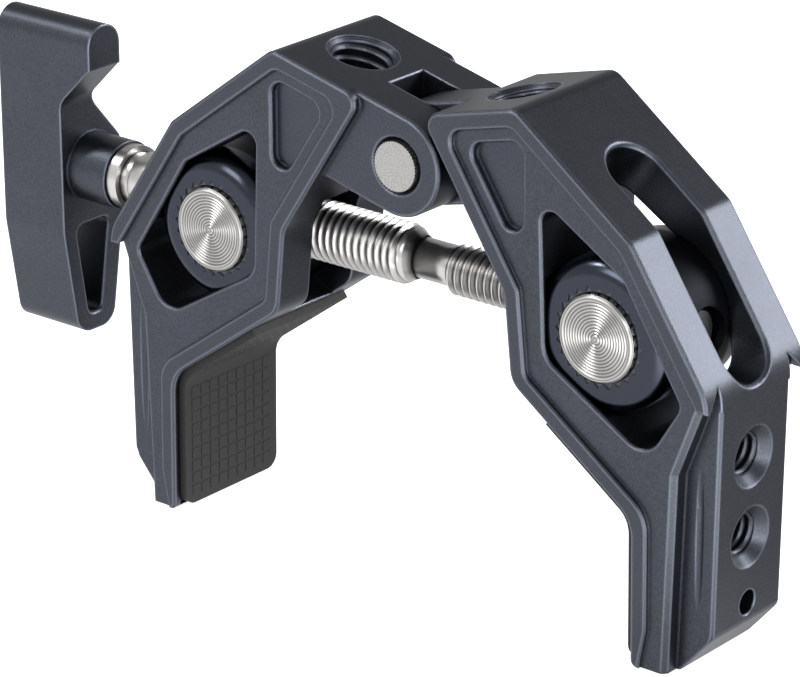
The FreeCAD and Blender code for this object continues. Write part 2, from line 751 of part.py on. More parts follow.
def inner_slot(body):
    start = size("trunnion_reach")
    end = size("throat_reach")
    high = "(Sizes.screw_height + Sizes.inner_slot_rise)"
    drop = f"(Sizes.slot_width / 2 * sqrt(1 + Sizes.swing_slope ^ 2))"
    low = f"(Sizes.screw_height - {drop})"
    low_end = f"({low} - Sizes.swing_slope * ({start} - {end}))"
    sketch = new_sketch(body, "inner_slot", "XZ_Plane")
    draw_polygon(sketch, [(start, low), (start, high), (end, high), (end, low_end)])
    pocket(body, "inner_slot", sketch, size("slot_width"))


def top_hole(body):
    """The large threaded hole in the top face."""
    reach = size("top_hole_reach")
    mouth = (reach, top_height(reach))
    slope = (f"(1 / {TOP_NORM})", f"(Sizes.top_slope / {TOP_NORM})")
    cone = "(Sizes.top_cone_radius - Sizes.top_hole_radius)"
    cut_round_hole(body, "top_hole", mouth, slope, [
        ("1", size("top_sink_radius")),
        ("(0 - Sizes.top_sink_depth)", size("top_sink_radius")),
        ("(0 - Sizes.top_sink_depth)", size("top_cone_radius")),
        (f"(0 - Sizes.top_sink_depth - {cone})", size("top_hole_radius")),
        ("(0 - Sizes.top_hole_depth)", size("top_hole_radius")),
    ])


def leg_holes(body):
    """The two small threaded holes and the plain hole in the outer face of the leg."""
    down = unit(FLANK, SHIN)
    sink = "(Sizes.side_sink_radius - Sizes.side_hole_radius)"
    for name in ("side_hole_high", "side_hole_low"):
        cut_round_hole(body, name, on_leg(size(name)), down, [
            ("1", f"(Sizes.side_sink_radius + 1)"),
            (f"(0 - {sink})", size("side_hole_radius")),
            ("(0 - Sizes.side_hole_depth)", size("side_hole_radius")),
        ])
    cut_round_hole(body, "plain_hole", on_leg(size("plain_hole_height")), down, [
        ("1", size("plain_hole_radius")),
        ("(0 - Sizes.plain_hole_depth)", size("plain_hole_radius")),
    ])


def on_leg(height):
    lean = "((Sizes.flank_reach - Sizes.shin_reach) / (Sizes.flank_height - Sizes.shin_height))"
    return f"(Sizes.shin_reach + {lean} * ({height} - Sizes.shin_height))", height


def cut_round_hole(body, name, mouth, across, steps):
    """A stepped round hole: steps are (height above the face, radius)."""
    sketch = new_sketch(body, name, "XZ_Plane")
    top = along(mouth, across, "0", steps[0][0])
    bottom = along(mouth, across, "0", steps[-1][0])
    draw_axis(sketch, bottom, top)
    wall = [along(mouth, across, radius, height) for height, radius in steps]
    draw_polygon(sketch, [bottom, top] + wall)
    spin("Groove", body, name, sketch)


def pad_lines(front, back):
    """The L of the rubber pad: front stands out of the jaw, back lies in it."""
    slope = unit(CHIN, PALM)
    end = along(CHIN, slope, size("pad_end"))
    end_far = along(end, slope, "0", "5")
    low = size("pad_foot")
    return [
        (CHIN, PALM, back),
        (PALM, HEEL, back),
        ((size("palm_reach"), low), (size("flank_reach"), low), None),
        (HEEL, PALM, front),
        (PALM, CHIN, front),
        (end, end_far, None),
    ]


def pad_recess(body):
    room = "(Sizes.pad_width + 2 * Sizes.pad_gap)"
    lines = pad_lines("3", size("pad_recess"))
    sketch = new_sketch(body, "pad_recess", "XZ_Plane")
    bend = "(Sizes.palm_round + Sizes.pad_recess)"
    draw_loop(sketch, lines, [bend, None, None, None, None, None])
    pocket(body, "pad_recess", sketch, room)


def jaw(name, width, ears):
    body = new_body(name)
    strap(body, width)
    jaw_block(body)
    if ears:
        clevis(body)
    pin_hole(body, "0" if ears else size("running_gap"))
    if ears:
        pin_countersink(body, number(width) / 2)
    leg_sides(body)
    side_panel(body)
    window(body)
    panel_edges(body)
    plate_edges(body)
    flute(body, "front_flute", "-1")
    flute(body, "back_flute", "1")
    drum_seat(body)
    screw_slot(body)
    slot_edges(body)
    pad_recess(body)
    top_hole(body)
    if not ears:
        leg_holes(body)
    return body


def rubber_pad(name):
    """The rubber pad on the inner faces of the leg and the body."""
    body = new_body(name)
    front = "(Sizes.pad_thickness - Sizes.pad_recess)"
    back = "(Sizes.pad_recess - Sizes.pad_gap)"
    bend = "(Sizes.palm_round + Sizes.pad_recess)"
    tight = f"(Sizes.palm_round - {front})"
    sketch = new_sketch(body, "outline", "XZ_Plane")
    draw_loop(sketch, pad_lines(front, back), [bend, None, None, tight, None, None])
    pad(body, "outline", sketch, size("pad_width"))
    low = number(size("pad_foot"))
    corners = []
    for edge in body.Tip.Shape.Edges:
        points = points_of(edge)
        if all(at_level(p, number(size("pad_width")) / 2) and p.z < low + CLOSE for p in points):
            corners.append(edge)
    dress("Fillet", body, "corners", corners, size("pad_round"))
    return body


# The trunnions
def drum(name, screw):
    """The turning drum with its cross hole for the screw."""
    body = new_body(name)
    inner = "(Sizes.core_radius + 0.02)"
    outer = size("drum_radius")
    end = "(Sizes.drum_length / 2)"
    back = "(0 - Sizes.drum_length / 2)"
    fillet = size("drum_fillet")
    sketch = new_sketch(body, "section", "XY_Plane")
    draw_axis(sketch, ("0", back), ("0", end))
    lines = polygon((inner, back), (outer, back), (outer, end), (inner, end))
    draw_loop(sketch, lines, [fillet, fillet, None, None])
    spin("Revolution", body, "section", sketch)
    bottom = "(Sizes.drum_length / 2 - Sizes.star_depth)"
    star_recess(body, "front", bottom, True)
    star_recess(body, "back", f"(0 - {bottom})", False)
    cross_hole(body, screw)
    return body


def star_recess(body, name, bottom, reverse):
    """The serrated recess round the cross nut, in one end of the drum."""
    sketch = new_sketch(body, f"{name}_recess", "XZ_Plane", bottom)
    draw_circle(sketch, ("0", "0"), size("star_radius"))
    pocket(body, f"{name}_recess", sketch, size("drum_length"), "One side", reverse)
    sketch = new_sketch(body, f"{name}_tooth", "XZ_Plane", bottom)
    low = size("tooth_low")
    draw_polygon(sketch, [("(0 - Sizes.tooth_half)", low), (size("tooth_half"), low),
                          ("0", size("star_tip"))])
    tooth = pocket(body, f"{name}_tooth", sketch, size("drum_length"), "One side", reverse)
    repeat_round_y(body, f"{name}_teeth", tooth, size("star_teeth"))


def core(name, screw):
    """The steel cross nut, whose turned ends show in the drum."""
    body = new_body(name)
    sketch = new_sketch(body, "section", "XZ_Plane")
    draw_circle(sketch, ("0", "0"), size("core_radius"))
    pad(body, "section", sketch, size("core_length"))
    ends = side_faces(body.Tip.Shape, number(size("core_length")) / 2)
    dress("Chamfer", body, "ends", edges_of(ends), size("core_chamfer"))
    cross_hole(body, screw)
    return body


def cross_hole(body, screw):
    sketch = new_sketch(body, "cross_hole", "YZ_Plane")
    draw_circle(sketch, ("0", "0"), f"({screw} + Sizes.running_gap)")
    pocket(body, "cross_hole", sketch)


# The screw, its washer and the handle
def spindle(name):
    """The screw: tang, journal, large thread, neck and small thread."""
    body = new_body(name)
    tang = "(Sizes.journal_start - Sizes.tang_length)"
    bevel = size("thread_chamfer")
    steps = [
        (tang, size("tang_radius")),
        (size("journal_start"), size("tang_radius")),
        (size("journal_start"), size("journal_radius")),
        (size("screw_start"), size("journal_radius")),
        (size("screw_start"), f"(Sizes.screw_radius - {bevel} / 2)"),
        (f"(Sizes.screw_start + {bevel})", size("screw_radius")),
        (size("screw_end"), size("screw_radius")),
        (size("neck_start"), size("neck_radius")),
        (size("neck_end"), size("neck_radius")),
        (f"(Sizes.neck_end + {bevel})", size("tail_radius")),
        (f"(Sizes.tail_end - {bevel})", size("tail_radius")),
        (size("tail_end"), f"(Sizes.tail_radius - {bevel})"),
    ]
    sketch = new_sketch(body, "section", "XZ_Plane")
    draw_axis(sketch, (tang, "0"), (size("tail_end"), "0"))
    draw_polygon(sketch, [(tang, "0")] + steps + [(size("tail_end"), "0")])
    spin("Revolution", body, "section", sketch)
    return body


def washer(name):
    """The loose steel thrust washer beside the hub of the handle."""
    body = new_body(name)
    sketch = new_sketch(body, "outline", "YZ_Plane", "(Sizes.journal_start + Sizes.end_gap)")
    draw_circle(sketch, ("0", "0"), size("washer_radius"))
    draw_circle(sketch, ("0", "0"), "(Sizes.journal_radius + Sizes.running_gap)")
    pad(body, "outline", sketch, size("washer_thickness"), "One side")
    return body


def lever_outline(sketch):
    """Seen along the screw: narrow upper arm, wide tapering lower arm."""
    half = size("lever_half")
    near = "(0 - Sizes.lever_half)"
    arm = "(Sizes.arm_width - Sizes.lever_half)"
    taper = "(0 - Sizes.taper_drop)"
    tip = "(0 - Sizes.lever_bottom)"
    waist = "(Sizes.waist_rise - 0.5)"
    top = size("lever_top")
    corners = [
        (near, taper),
        ("(0 - Sizes.tip_half)", tip),
        (size("tip_half"), tip),
        (half, taper),
        (half, "(Sizes.waist_rise - 7.5)"),
        (arm, waist),
        (arm, top),
        (near, top),
    ]
    arm_round = "(Sizes.arm_width / 2 - 0.01)"
    tip_round = "(Sizes.tip_half * 0.8)"
    rounds = [tip_round, tip_round, "9", "2", "5", arm_round, arm_round, "9"]
    draw_loop(sketch, polygon(*corners), rounds)


def handle(name):
    """The lever with its hub, bored for the tang of the screw."""
    body = new_body(name)
    sketch = new_sketch(body, "lever", "YZ_Plane", size("lever_outer"))
    lever_outline(sketch)
    pad(body, "lever", sketch, "(Sizes.lever_lip - Sizes.lever_outer)", "One side")
    rise = size("lip_rise")
    run = "(Sizes.lever_lip - Sizes.lever_inner)"
    face = size("lever_inner")
    low = "(0 - Sizes.lever_bottom - 5)"
    beyond = "(Sizes.lever_lip + 5)"
    sketch = new_sketch(body, "relief", "XZ_Plane")
    corners = [(face, low), (beyond, low), (beyond, rise), (size("lever_lip"), rise),
               (face, f"({rise} - {run})")]
    draw_loop(sketch, polygon(*corners), [None, None, "1.5", "3", None])
    pocket(body, "relief", sketch)
    loop_opening(body)
    back = end_faces(body.Tip.Shape, number(size("lever_outer")))
    front = end_faces(body.Tip.Shape, number(size("lever_inner")))
    edges = edges_of(back) + opening_edges(front)
    dress("Chamfer", body, "edges", edges, size("lever_chamfer"))
    sketch = new_sketch(body, "hub", "YZ_Plane", "(Sizes.lever_outer + 1)")
    draw_circle(sketch, ("0", "0"), size("hub_radius"))
    pad(body, "hub", sketch, "(Sizes.journal_start - Sizes.lever_outer - 1)", "One side")
    sketch = new_sketch(body, "tang_hole", "YZ_Plane", size("journal_start"))
    draw_circle(sketch, ("0", "0"), "(Sizes.tang_radius + 0.02)")
    pocket(body, "tang_hole", sketch, "(Sizes.tang_length + Sizes.end_gap)", "One side")
    return body


def loop_opening(body):
    """The tapering finger opening through the lower arm."""
    top = "(0 - Sizes.loop_top)"
    bottom = "(0 - Sizes.loop_bottom)"
    corners = [
        ("(0 - Sizes.loop_tip)", bottom),
        (size("loop_tip"), bottom),
        (size("loop_half"), top),
        ("(0 - Sizes.loop_half)", top),
    ]
    sketch = new_sketch(body, "opening", "YZ_Plane")
    draw_polygon(sketch, corners, size("loop_round"))
    pocket(body, "opening", sketch)


def hinge_pin(name):
    body = new_body(name)
    sketch = new_sketch(body, "outline", "XZ_Plane")
    draw_circle(sketch, ("0", "0"), size("pin_radius"))
    pad(body, "outline", sketch, size("pin_length"))
    return body


# Assembly
def put(body, reach, height, half_turn=False):
    """Stand a piece in its place; half_turn faces it the other way."""
    if half_turn:
        body.Placement = FreeCAD.Placement(
            FreeCAD.Vector(0, 0, 0), FreeCAD.Rotation(FreeCAD.Vector(0, 0, 1), 180))
    body.setExpression("Placement.Base.x", reach)
    body.setExpression("Placement.Base.z", height)
    return body


def build_parts():
    height = size("screw_height")
    reach = size("trunnion_reach")
    left = "(0 - Sizes.trunnion_reach)"
    knuckle = "(Sizes.clevis_width - 2 * Sizes.end_gap)"
    return [
        put(jaw("left_jaw", size("ear_width"), True), "0", "0", True),
        put(jaw("right_jaw", knuckle, False), "0", "0"),
        put(rubber_pad("left_pad"), "0", "0", True),
        put(rubber_pad("right_pad"), "0", "0"),
        put(hinge_pin("hinge_pin"), "0", size("hinge_height")),
        put(drum("left_trunnion", size("screw_radius")), left, height),
        put(drum("right_trunnion", size("tail_radius")), reach, height),
        put(core("left_cross_nut", size("screw_radius")), left, height),
        put(core("right_cross_nut", size("tail_radius")), reach, height),
        put(spindle("screw"), "0", height),
        put(washer("thrust_washer"), "0", height),
        put(handle("handle"), "0", height),
    ]


def check(parts):
    doc.recompute()
    for item in doc.Objects:
        if "Invalid" in item.State or "Error" in item.State:
            raise ValueError(f"{item.Name} failed: {item.State}")
    for part in parts:
        if part.Shape.isNull() or not part.Shape.isValid():
            raise ValueError(f"{part.Label} has no valid shape")


def export(parts):
    os.makedirs("parts", exist_ok=True)
    for part in parts:
        part.Shape.exportStep(f"parts/{part.Label}.step")
        box = part.Shape.BoundBox
        print(f"{part.Label}: volume {part.Shape.Volume:.1f}, solids {len(part.Shape.Solids)}, "
              f"x {box.XMin:.2f} to {box.XMax:.2f}, y {box.YMin:.2f} to {box.YMax:.2f}, "
              f"z {box.ZMin:.2f} to {box.ZMax:.2f}")


fill_sheet()
pieces = build_parts()
check(pieces)
export(pieces)
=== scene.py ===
import json
import math

import bmesh
import bpy
from bpy.props import FloatProperty, FloatVectorProperty, IntProperty, PointerProperty
from mathutils import Matrix, Quaternion, Vector


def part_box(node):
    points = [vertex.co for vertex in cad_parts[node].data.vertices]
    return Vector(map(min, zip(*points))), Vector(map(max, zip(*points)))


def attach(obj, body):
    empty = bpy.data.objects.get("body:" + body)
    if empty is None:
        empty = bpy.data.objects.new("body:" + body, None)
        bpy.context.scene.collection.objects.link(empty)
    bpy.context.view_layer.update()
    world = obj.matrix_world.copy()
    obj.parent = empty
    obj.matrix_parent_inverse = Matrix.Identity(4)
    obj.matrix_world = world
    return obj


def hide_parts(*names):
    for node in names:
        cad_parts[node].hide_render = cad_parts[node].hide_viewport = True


bl_info = {
    "name": "Crab Clamp",
    "version": (1, 0, 0),
    "blender": (4, 5, 0),
    "location": "View3D > Sidebar > Crab Clamp",
    "description": "Dresses a screw clamp: anodised jaws, turned steel, threads and rubber pads",
    "category": "Object",
}

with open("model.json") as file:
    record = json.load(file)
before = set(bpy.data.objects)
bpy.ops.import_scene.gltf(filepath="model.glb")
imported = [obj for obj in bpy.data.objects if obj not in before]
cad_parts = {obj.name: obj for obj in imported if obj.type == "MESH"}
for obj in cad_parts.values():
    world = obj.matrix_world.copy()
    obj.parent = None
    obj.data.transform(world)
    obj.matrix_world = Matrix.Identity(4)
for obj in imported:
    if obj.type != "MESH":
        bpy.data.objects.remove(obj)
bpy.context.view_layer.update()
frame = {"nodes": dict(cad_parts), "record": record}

MM = 0.001
WELD = 5e-7  # metres: points nearer than this become one
ALONG_X, ALONG_Y, ALONG_Z = Vector((1, 0, 0)), Vector((0, 1, 0)), Vector((0, 0, 1))
SCREW_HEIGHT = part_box("screw")[0].z + (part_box("screw")[1].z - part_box("screw")[0].z) / 2
TRUNNION_REACH = (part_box("right_trunnion")[0].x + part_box("right_trunnion")[1].x) / 2

# Shoulders of the screw: where each begins along X, and its radius, in millimetres
TANG_RADIUS = 2.6
GROOVE_START, GROOVE_RADIUS = -57.6, 3.1
COLLAR_START, COLLAR_RADIUS = -55.65, 3.8
SHANK_START = -54.1
NECK_START, NECK_RADIUS = -3.2, 2.85

# The screw's threads, in millimetres
CORE_GAP = 0.1  # the core is inside the roots by this, the shank inside the crests
CREST_GAP = 0.05  # the shape that a thread is cut to clears its crests by this
SHANK_CHAMFER = (0.3, 0.15)  # at the start of the shank: along it, and inwards
LEAD_IN = (0.5, 0.3, 0.15)  # large thread: before its start, after it, and inwards
TAIL_CHAMFER = (0.8, 0.7)  # ends of the small thread: along it, and inwards at the tip
TAIL_CORE = 1.0  # from the end of the small thread to the end of its core

# Shapes of the nuts, recesses, holes, studs and pin, in millimetres
STAR_REACH = 7.15  # from a nut's axis to beyond the tips of its star recess
SEAT_FOOT = 0.75  # underside of the ring in a star recess, below the drum's face
SEAT_GAP = 0.1  # between a nut and that ring
BORE_GAP = 0.08  # between the screw's crests and a nut's bore
BEVEL_WIDTH = 0.42  # bright bevel round a nut's face
BEVEL_FOOT = (0.1, 0.26)  # its lower edge: in from the side, down from the face
RIM_TOP, RIM_FOOT = 0.5, 0.65  # scalloped rim of a nut, down from the face
WALL_FOOT = 1.5  # lower edge of the smooth wall under the rim
BITE = 0.1  # how far studs and ridges reach into the solid under them
PIN_RIM = 0.3  # plain ring round a pin's end

# Counts of steps in one turn, and the notches cut into them
TURNED_STEPS = 48
THREAD_STEPS = 32
RIDGE_STEPS = 48
HOLE_STEPS = 64
NUT_STEPS, NUT_STEPS_PER_NOTCH = 96, 4
PIN_STEPS, PIN_STEPS_PER_NOTCH = 96, 2
NOTCH_SCALE = 0.955  # radius at the bottom of a notch, as a share of the rim's
NOTCH_MARGIN = 0.05 * MM  # points this near the rim's radius are on the rim

# Camera that matches the photograph, in metres, millimetres and degrees
CAMERA_PLACE = (0.312334, -0.387581, 0.226720)
CAMERA_AIM = (0.001896, -0.011337, 0.036573)
CAMERA_ROLL = -0.2203
CAMERA_LENS = 177.99
CAMERA_SENSOR = 36.0
CAMERA_CLIP = (0.01, 20.0)

# Soft lamps: name, place in metres, side in metres and power in watts
LAMPS = (
    ("slope", (0.50, 0.60, 0.33), 0.34, 4.4),
    ("front", (-0.25, -0.65, 0.52), 0.30, 1.7),
    ("edges", (-0.55, -0.33, 0.68), 0.14, 1.7),
    ("rim", (0.52, -0.60, 0.36), 0.12, 1.2),
    ("side", (0.70, -0.30, 0.12), 0.15, 1.3),
)
LAMP_AIM = Vector((0, 0, 0.035))
FLOOR_SIZE, FLOOR_HEIGHT = 6.0, -0.0001  # metres


# Colours and nodes
def srgb(code):
    """The three values of a hex colour, from 0 to 1."""
    return [int(code[i:i + 2], 16) / 255 for i in (1, 3, 5)]


def tone(colour, gain=1.0):
    """A property's sRGB colour, made lighter or darker, as linear RGBA."""
    values = [max(0, min(255, round(c * gain * 255))) / 255 for c in colour]
    values = [v / 12.92 if v <= 0.04045 else ((v + 0.055) / 1.055) ** 2.4 for v in values]
    return (*values, 1.0)


def add_node(tree, kind, settings=None, **inputs):
    """Adds a node, sets its properties, and sets or links its sockets."""
    node = tree.nodes.new(kind)
    for name, value in (settings or {}).items():
        setattr(node, name, value)
    for name, value in inputs.items():
        key = int(name[1:]) if name[0] == "i" and name[1:].isdigit() else name.replace("_", " ")
        if isinstance(value, bpy.types.NodeSocket):
            tree.links.new(value, node.inputs[key])
        else:
            node.inputs[key].default_value = value
    return node


def compute(tree, operation, *values):
    """One step of arithmetic on sockets and numbers."""
    inputs = {f"i{n}": value for n, value in enumerate(values)}
    return add_node(tree, "ShaderNodeMath", {"operation": operation}, **inputs).outputs[0]


def remap(tree, value, from_range=(0.0, 1.0), to_range=(0.0, 1.0)):
    """A value carried from one range to another, and held inside it."""
    node = add_node(tree, "ShaderNodeMapRange", Value=value, From_Min=from_range[0],
                    From_Max=from_range[1], To_Min=to_range[0], To_Max=to_range[1])
    return node.outputs[0]


def blend(tree, factor, low, high):
    """A colour between two colours, each of them a socket or linear RGBA."""
    return add_node(tree, "ShaderNodeMix", {"data_type": "RGBA"}, Factor=factor, i6=low,
                    i7=high).outputs[2]


def blend_values(tree, factor, low, high):
    """A number between two numbers."""
    return add_node(tree, "ShaderNodeMix", {"data_type": "FLOAT"}, Factor=factor, i2=low,
                    i3=high).outputs[0]


def scaled(tree, colour, gain):
    """A colour times a number."""
    return add_node(tree, "ShaderNodeVectorMath", {"operation": "SCALE"}, i0=colour,
                    Scale=gain).outputs[0]


def noise(tree, place, size, detail=2.0, roughness=0.5):
    """Random values from 0 to 1 in smooth spots of about size millimetres."""
    return add_node(tree, "ShaderNodeTexNoise", Vector=place, Scale=1 / (size * MM),
                    Detail=detail, Roughness=roughness).outputs["Fac"]


def bump(tree, height, strength, depth, normal=None):
    """A normal tilted by a height that spans depth millimetres."""
    node = add_node(tree, "ShaderNodeBump", Height=height, Strength=strength, Distance=depth * MM)
    if normal:
        tree.links.new(normal, node.inputs["Normal"])
    return node.outputs[0]


def split(tree, place):
    """The X, Y and Z of a place."""
    return add_node(tree, "ShaderNodeSeparateXYZ", Vector=place).outputs


def object_place(tree, height=0.0):
    """Object coordinates, measured from a point at the given height."""
    place = add_node(tree, "ShaderNodeTexCoord")
    return add_node(tree, "ShaderNodeMapping", Vector=place.outputs["Object"],
                    Location=(0.0, 0.0, -height)).outputs["Vector"]


def new_finish(name):
    """An empty material, ready for its nodes."""
    finish = bpy.data.materials.new(name)
    finish.use_nodes = True
    finish.node_tree.nodes.clear()
    return finish, finish.node_tree


def close_finish(finish, shader):
    """Links the shader to the material's output."""
    add_node(finish.node_tree, "ShaderNodeOutputMaterial", Surface=shader.outputs[0])
    return finish


# Object and edit-mode helpers
def clear_selection():
    """Leaves edit mode with nothing selected."""
    if bpy.context.mode != "OBJECT":
        bpy.ops.object.mode_set(mode="OBJECT")
    bpy.ops.object.select_all(action="DESELECT")


def choose(piece):
    """Makes the piece the active object and the only selected one."""
    clear_selection()
    bpy.context.view_layer.objects.active = piece
    piece.select_set(True)


def begin_edit(piece):
    """Opens the piece's mesh."""
    choose(piece)
    bpy.ops.object.mode_set(mode="EDIT")


def pick(piece, kind, test):
    """Selects only the vertices, edges or faces of the edited mesh that pass the test."""
    bpy.ops.mesh.select_mode(type=kind)
    bpy.ops.mesh.select_all(action="DESELECT")
    mesh = bmesh.from_edit_mesh(piece.data)
    items = {"VERT": mesh.verts, "EDGE": mesh.edges, "FACE": mesh.faces}[kind]
    for item in items:
        if test(item):
            item.select_set(True)
    mesh.select_flush_mode()
    bmesh.update_edit_mesh(piece.data)


def pick_open_edges():
    """Selects only the edges of the edited mesh that have one face."""
    bpy.ops.mesh.select_all(action="DESELECT")
    bpy.ops.mesh.select_mode(type="EDGE")
    bpy.ops.mesh.select_non_manifold(extend=False, use_wire=False, use_boundary=True,
                                     use_multi_face=False, use_non_contiguous=False,
                                     use_verts=False)


def cut_notches(piece, centre, radius, steps, spacing, in_rim=lambda v: True):
    """Draws every so many points of a rim about an axis along Y inwards."""
    def on_notch(v):
        run, rise = v.co.x - centre.x, v.co.z - centre.z
        step = round(math.atan2(rise, run) / math.tau * steps)
        return math.hypot(run, rise) > radius - NOTCH_MARGIN and step % spacing == 0 and in_rim(v)
    pick(piece, "VERT", on_notch)
    bpy.ops.transform.resize(value=(NOTCH_SCALE, 1, NOTCH_SCALE), center_override=centre)


def end_edit(smooth_angle=30.0):
    """Closes the open mesh with merged points, outward faces and settled shading."""
    bpy.ops.mesh.select_mode(type="VERT")
    bpy.ops.mesh.select_all(action="SELECT")
    bpy.ops.mesh.remove_doubles(threshold=WELD)
    bpy.ops.mesh.normals_make_consistent(inside=False)
    bpy.ops.object.mode_set(mode="OBJECT")
    bpy.ops.object.shade_smooth_by_angle(angle=math.radians(smooth_angle))


def apply_all(piece):
    """Turns the piece's modifiers into mesh."""
    choose(piece)
    for modifier in list(piece.modifiers):
        bpy.ops.object.modifier_apply(modifier=modifier.name)


def settle(piece):
    """Puts the piece's place in its mesh and its object at the origin."""
    choose(piece)
    bpy.ops.object.transform_apply(location=True, rotation=True, scale=True)


def combine(piece, operation, tool):
    """Cuts the piece by the tool, or keeps what they share, and removes the tool."""
    cut = piece.modifiers.new("cut", "BOOLEAN")
    cut.operation = operation
    cut.solver = "EXACT"
    cut.object = tool
    apply_all(piece)
    bpy.data.objects.remove(tool)


def join(pieces):
    """Joins the pieces into the first."""
    clear_selection()
    for piece in pieces:
        piece.select_set(True)
    bpy.context.view_layer.objects.active = pieces[0]
    bpy.ops.object.join()
    return bpy.context.object


def dress(piece, name, body, slot, finish, *replaced):
    """Names the piece, gives it its finish and says what it rides on and replaces."""
    piece.name = name
    piece.data.name = name
    piece.data.materials.clear()
    piece.data.materials.append(finish)
    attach(piece, body)
    if replaced:
        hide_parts(*replaced)


# Shapes that several pieces share
def line_profile(name, points):
    """An open chain of edges in the XZ plane, drawn by extruding one vertex."""
    clear_selection()
    bpy.ops.mesh.primitive_plane_add(size=MM, location=(0, 0, 0))
    piece = bpy.context.object
    piece.name = name
    begin_edit(piece)
    bpy.ops.mesh.merge(type="CENTER")
    start = Vector((points[0][0], 0, points[0][1]))
    bpy.ops.transform.translate(value=start)
    for before, after in zip(points, points[1:]):
        step = (after[0] - before[0], 0, after[1] - before[1])
        bpy.ops.mesh.extrude_region_move(TRANSFORM_OT_translate={"value": step})
    return piece


def turned_solid(name, points):
    """A lathe-turned solid about the screw's axis."""
    piece = line_profile(name, [(x * MM, SCREW_HEIGHT + r * MM) for x, r in points])
    bpy.ops.mesh.select_all(action="SELECT")
    bpy.ops.mesh.spin(steps=TURNED_STEPS, angle=math.tau, center=(0, 0, SCREW_HEIGHT),
                      axis=ALONG_X)
    end_edit()
    return piece


def spin_about_nut(reach):
    """Stands the open profile along Y and turns it about the axis of a nut."""
    bpy.ops.mesh.select_all(action="SELECT")
    bpy.ops.transform.rotate(value=-math.pi / 2, orient_axis="X", center_override=(0, 0, 0))
    bpy.ops.transform.translate(value=(0, 0, SCREW_HEIGHT))
    bpy.ops.mesh.spin(steps=NUT_STEPS, angle=math.tau, center=(reach, 0, SCREW_HEIGHT),
                      axis=ALONG_Y)


def thread_bar(name, start, end, major, sizes, left_hand):
    """A threaded bar on the screw's axis, longer than asked, with closed ends."""
    pitch = sizes.pitch
    minor = major - sizes.depth
    crest = pitch * 0.13
    root = pitch * 0.2
    slope = (pitch - crest - root) / 2
    first = start - pitch * 1.5
    points = [(0, minor), (root, minor), (root + slope, major), (root + slope + crest, major),
              (pitch, minor)]
    bar = line_profile(name, [((first + x) * MM, SCREW_HEIGHT + r * MM) for x, r in points])
    bpy.ops.object.mode_set(mode="OBJECT")
    centre = bpy.data.objects.new("thread_centre", None)
    bpy.context.collection.objects.link(centre)
    centre.location = (0, 0, SCREW_HEIGHT)
    screw = bar.modifiers.new("thread", "SCREW")
    screw.axis = "X"
    screw.object = centre
    screw.steps = screw.render_steps = THREAD_STEPS
    screw.iterations = int((end - start) / pitch + 4)
    screw.use_object_screw_offset = False
    screw.screw_offset = pitch * MM
    screw.angle = -math.tau if left_hand else math.tau
    screw.use_merge_vertices = True
    screw.merge_threshold = 2 * WELD
    apply_all(bar)
    bpy.data.objects.remove(centre)
    begin_edit(bar)
    bpy.ops.mesh.select_all(action="SELECT")
    bpy.ops.mesh.remove_doubles(threshold=4 * WELD)
    pick_open_edges()
    bpy.ops.mesh.fill()
    end_edit()
    return bar


# Finishes
def openness(tree, reach):
    """From 0 in the depth of corners and grooves to 1 on open faces and edges."""
    return add_node(tree, "ShaderNodeAmbientOcclusion", {"samples": 6},
                    Distance=reach * MM).outputs["AO"]


def round_edges(tree, width):
    """The rounded normal of edges, from 0 to 1 how much a point is on an outer
    edge, and how much of the colour is left in inner corners, as painted shade."""
    rounded = add_node(tree, "ShaderNodeBevel", {"samples": 6}, Radius=width * MM).outputs[0]
    true = add_node(tree, "ShaderNodeNewGeometry")
    alike = add_node(tree, "ShaderNodeVectorMath", {"operation": "DOT_PRODUCT"}, i0=rounded,
                     i1=true.outputs["True Normal"])
    edge = remap(tree, alike.outputs["Value"], (0.995, 0.93))
    free = openness(tree, 0.6)
    outer = compute(tree, "MULTIPLY", edge, remap(tree, free, (0.75, 0.98)))
    # Painted shade: the colour is darkened where the occlusion finds an inner corner or groove.
    corner_shade = remap(tree, free, (0.45, 0.85), (0.35, 1.0))
    return rounded, outer, corner_shade


def axis_radius(tree, parts):
    """How far a point is from the axis of the trunnion on its side."""
    side = compute(tree, "ABSOLUTE", parts["X"])
    reach = compute(tree, "SUBTRACT", side, TRUNNION_REACH)
    flat = add_node(tree, "ShaderNodeCombineXYZ", X=reach, Z=parts["Z"])
    return add_node(tree, "ShaderNodeVectorMath", {"operation": "LENGTH"},
                    i0=flat.outputs[0]).outputs["Value"]


def anodised_finish(colours):
    """Bead-blasted aluminium, anodised dark blue-grey: a metallic sheen with a
    fine sparkling grain, slightly cloudy, paler along the broken edges as a
    painted highlight that is partly wear, and darker in inner corners as painted shade."""
    finish, tree = new_finish("blasted_anodised_aluminium")
    place = object_place(tree)
    grain = noise(tree, place, 0.22, roughness=0.6)
    clouded = blend(tree, noise(tree, place, 9), tone(colours.anodised, 0.94),
                    tone(colours.anodised, 1.06))
    speckled = scaled(tree, clouded, remap(tree, grain, (0.35, 0.65), (0.8, 1.2)))
    normal, edge, corner_shade = round_edges(tree, 0.5)
    # Paler outer edges: a painted highlight, partly wear; inner corners get the painted corner
    # shade.
    worn_and_highlit = blend(tree, edge, scaled(tree, speckled, corner_shade), tone(colours.edges))
    shader = add_node(tree, "ShaderNodeBsdfPrincipled", Base_Color=worn_and_highlit, Metallic=1.0,
                      Roughness=remap(tree, grain, to_range=(0.3, 0.46)),
                      Normal=bump(tree, grain, 0.45, 0.03, normal))
    return close_finish(finish, shader)


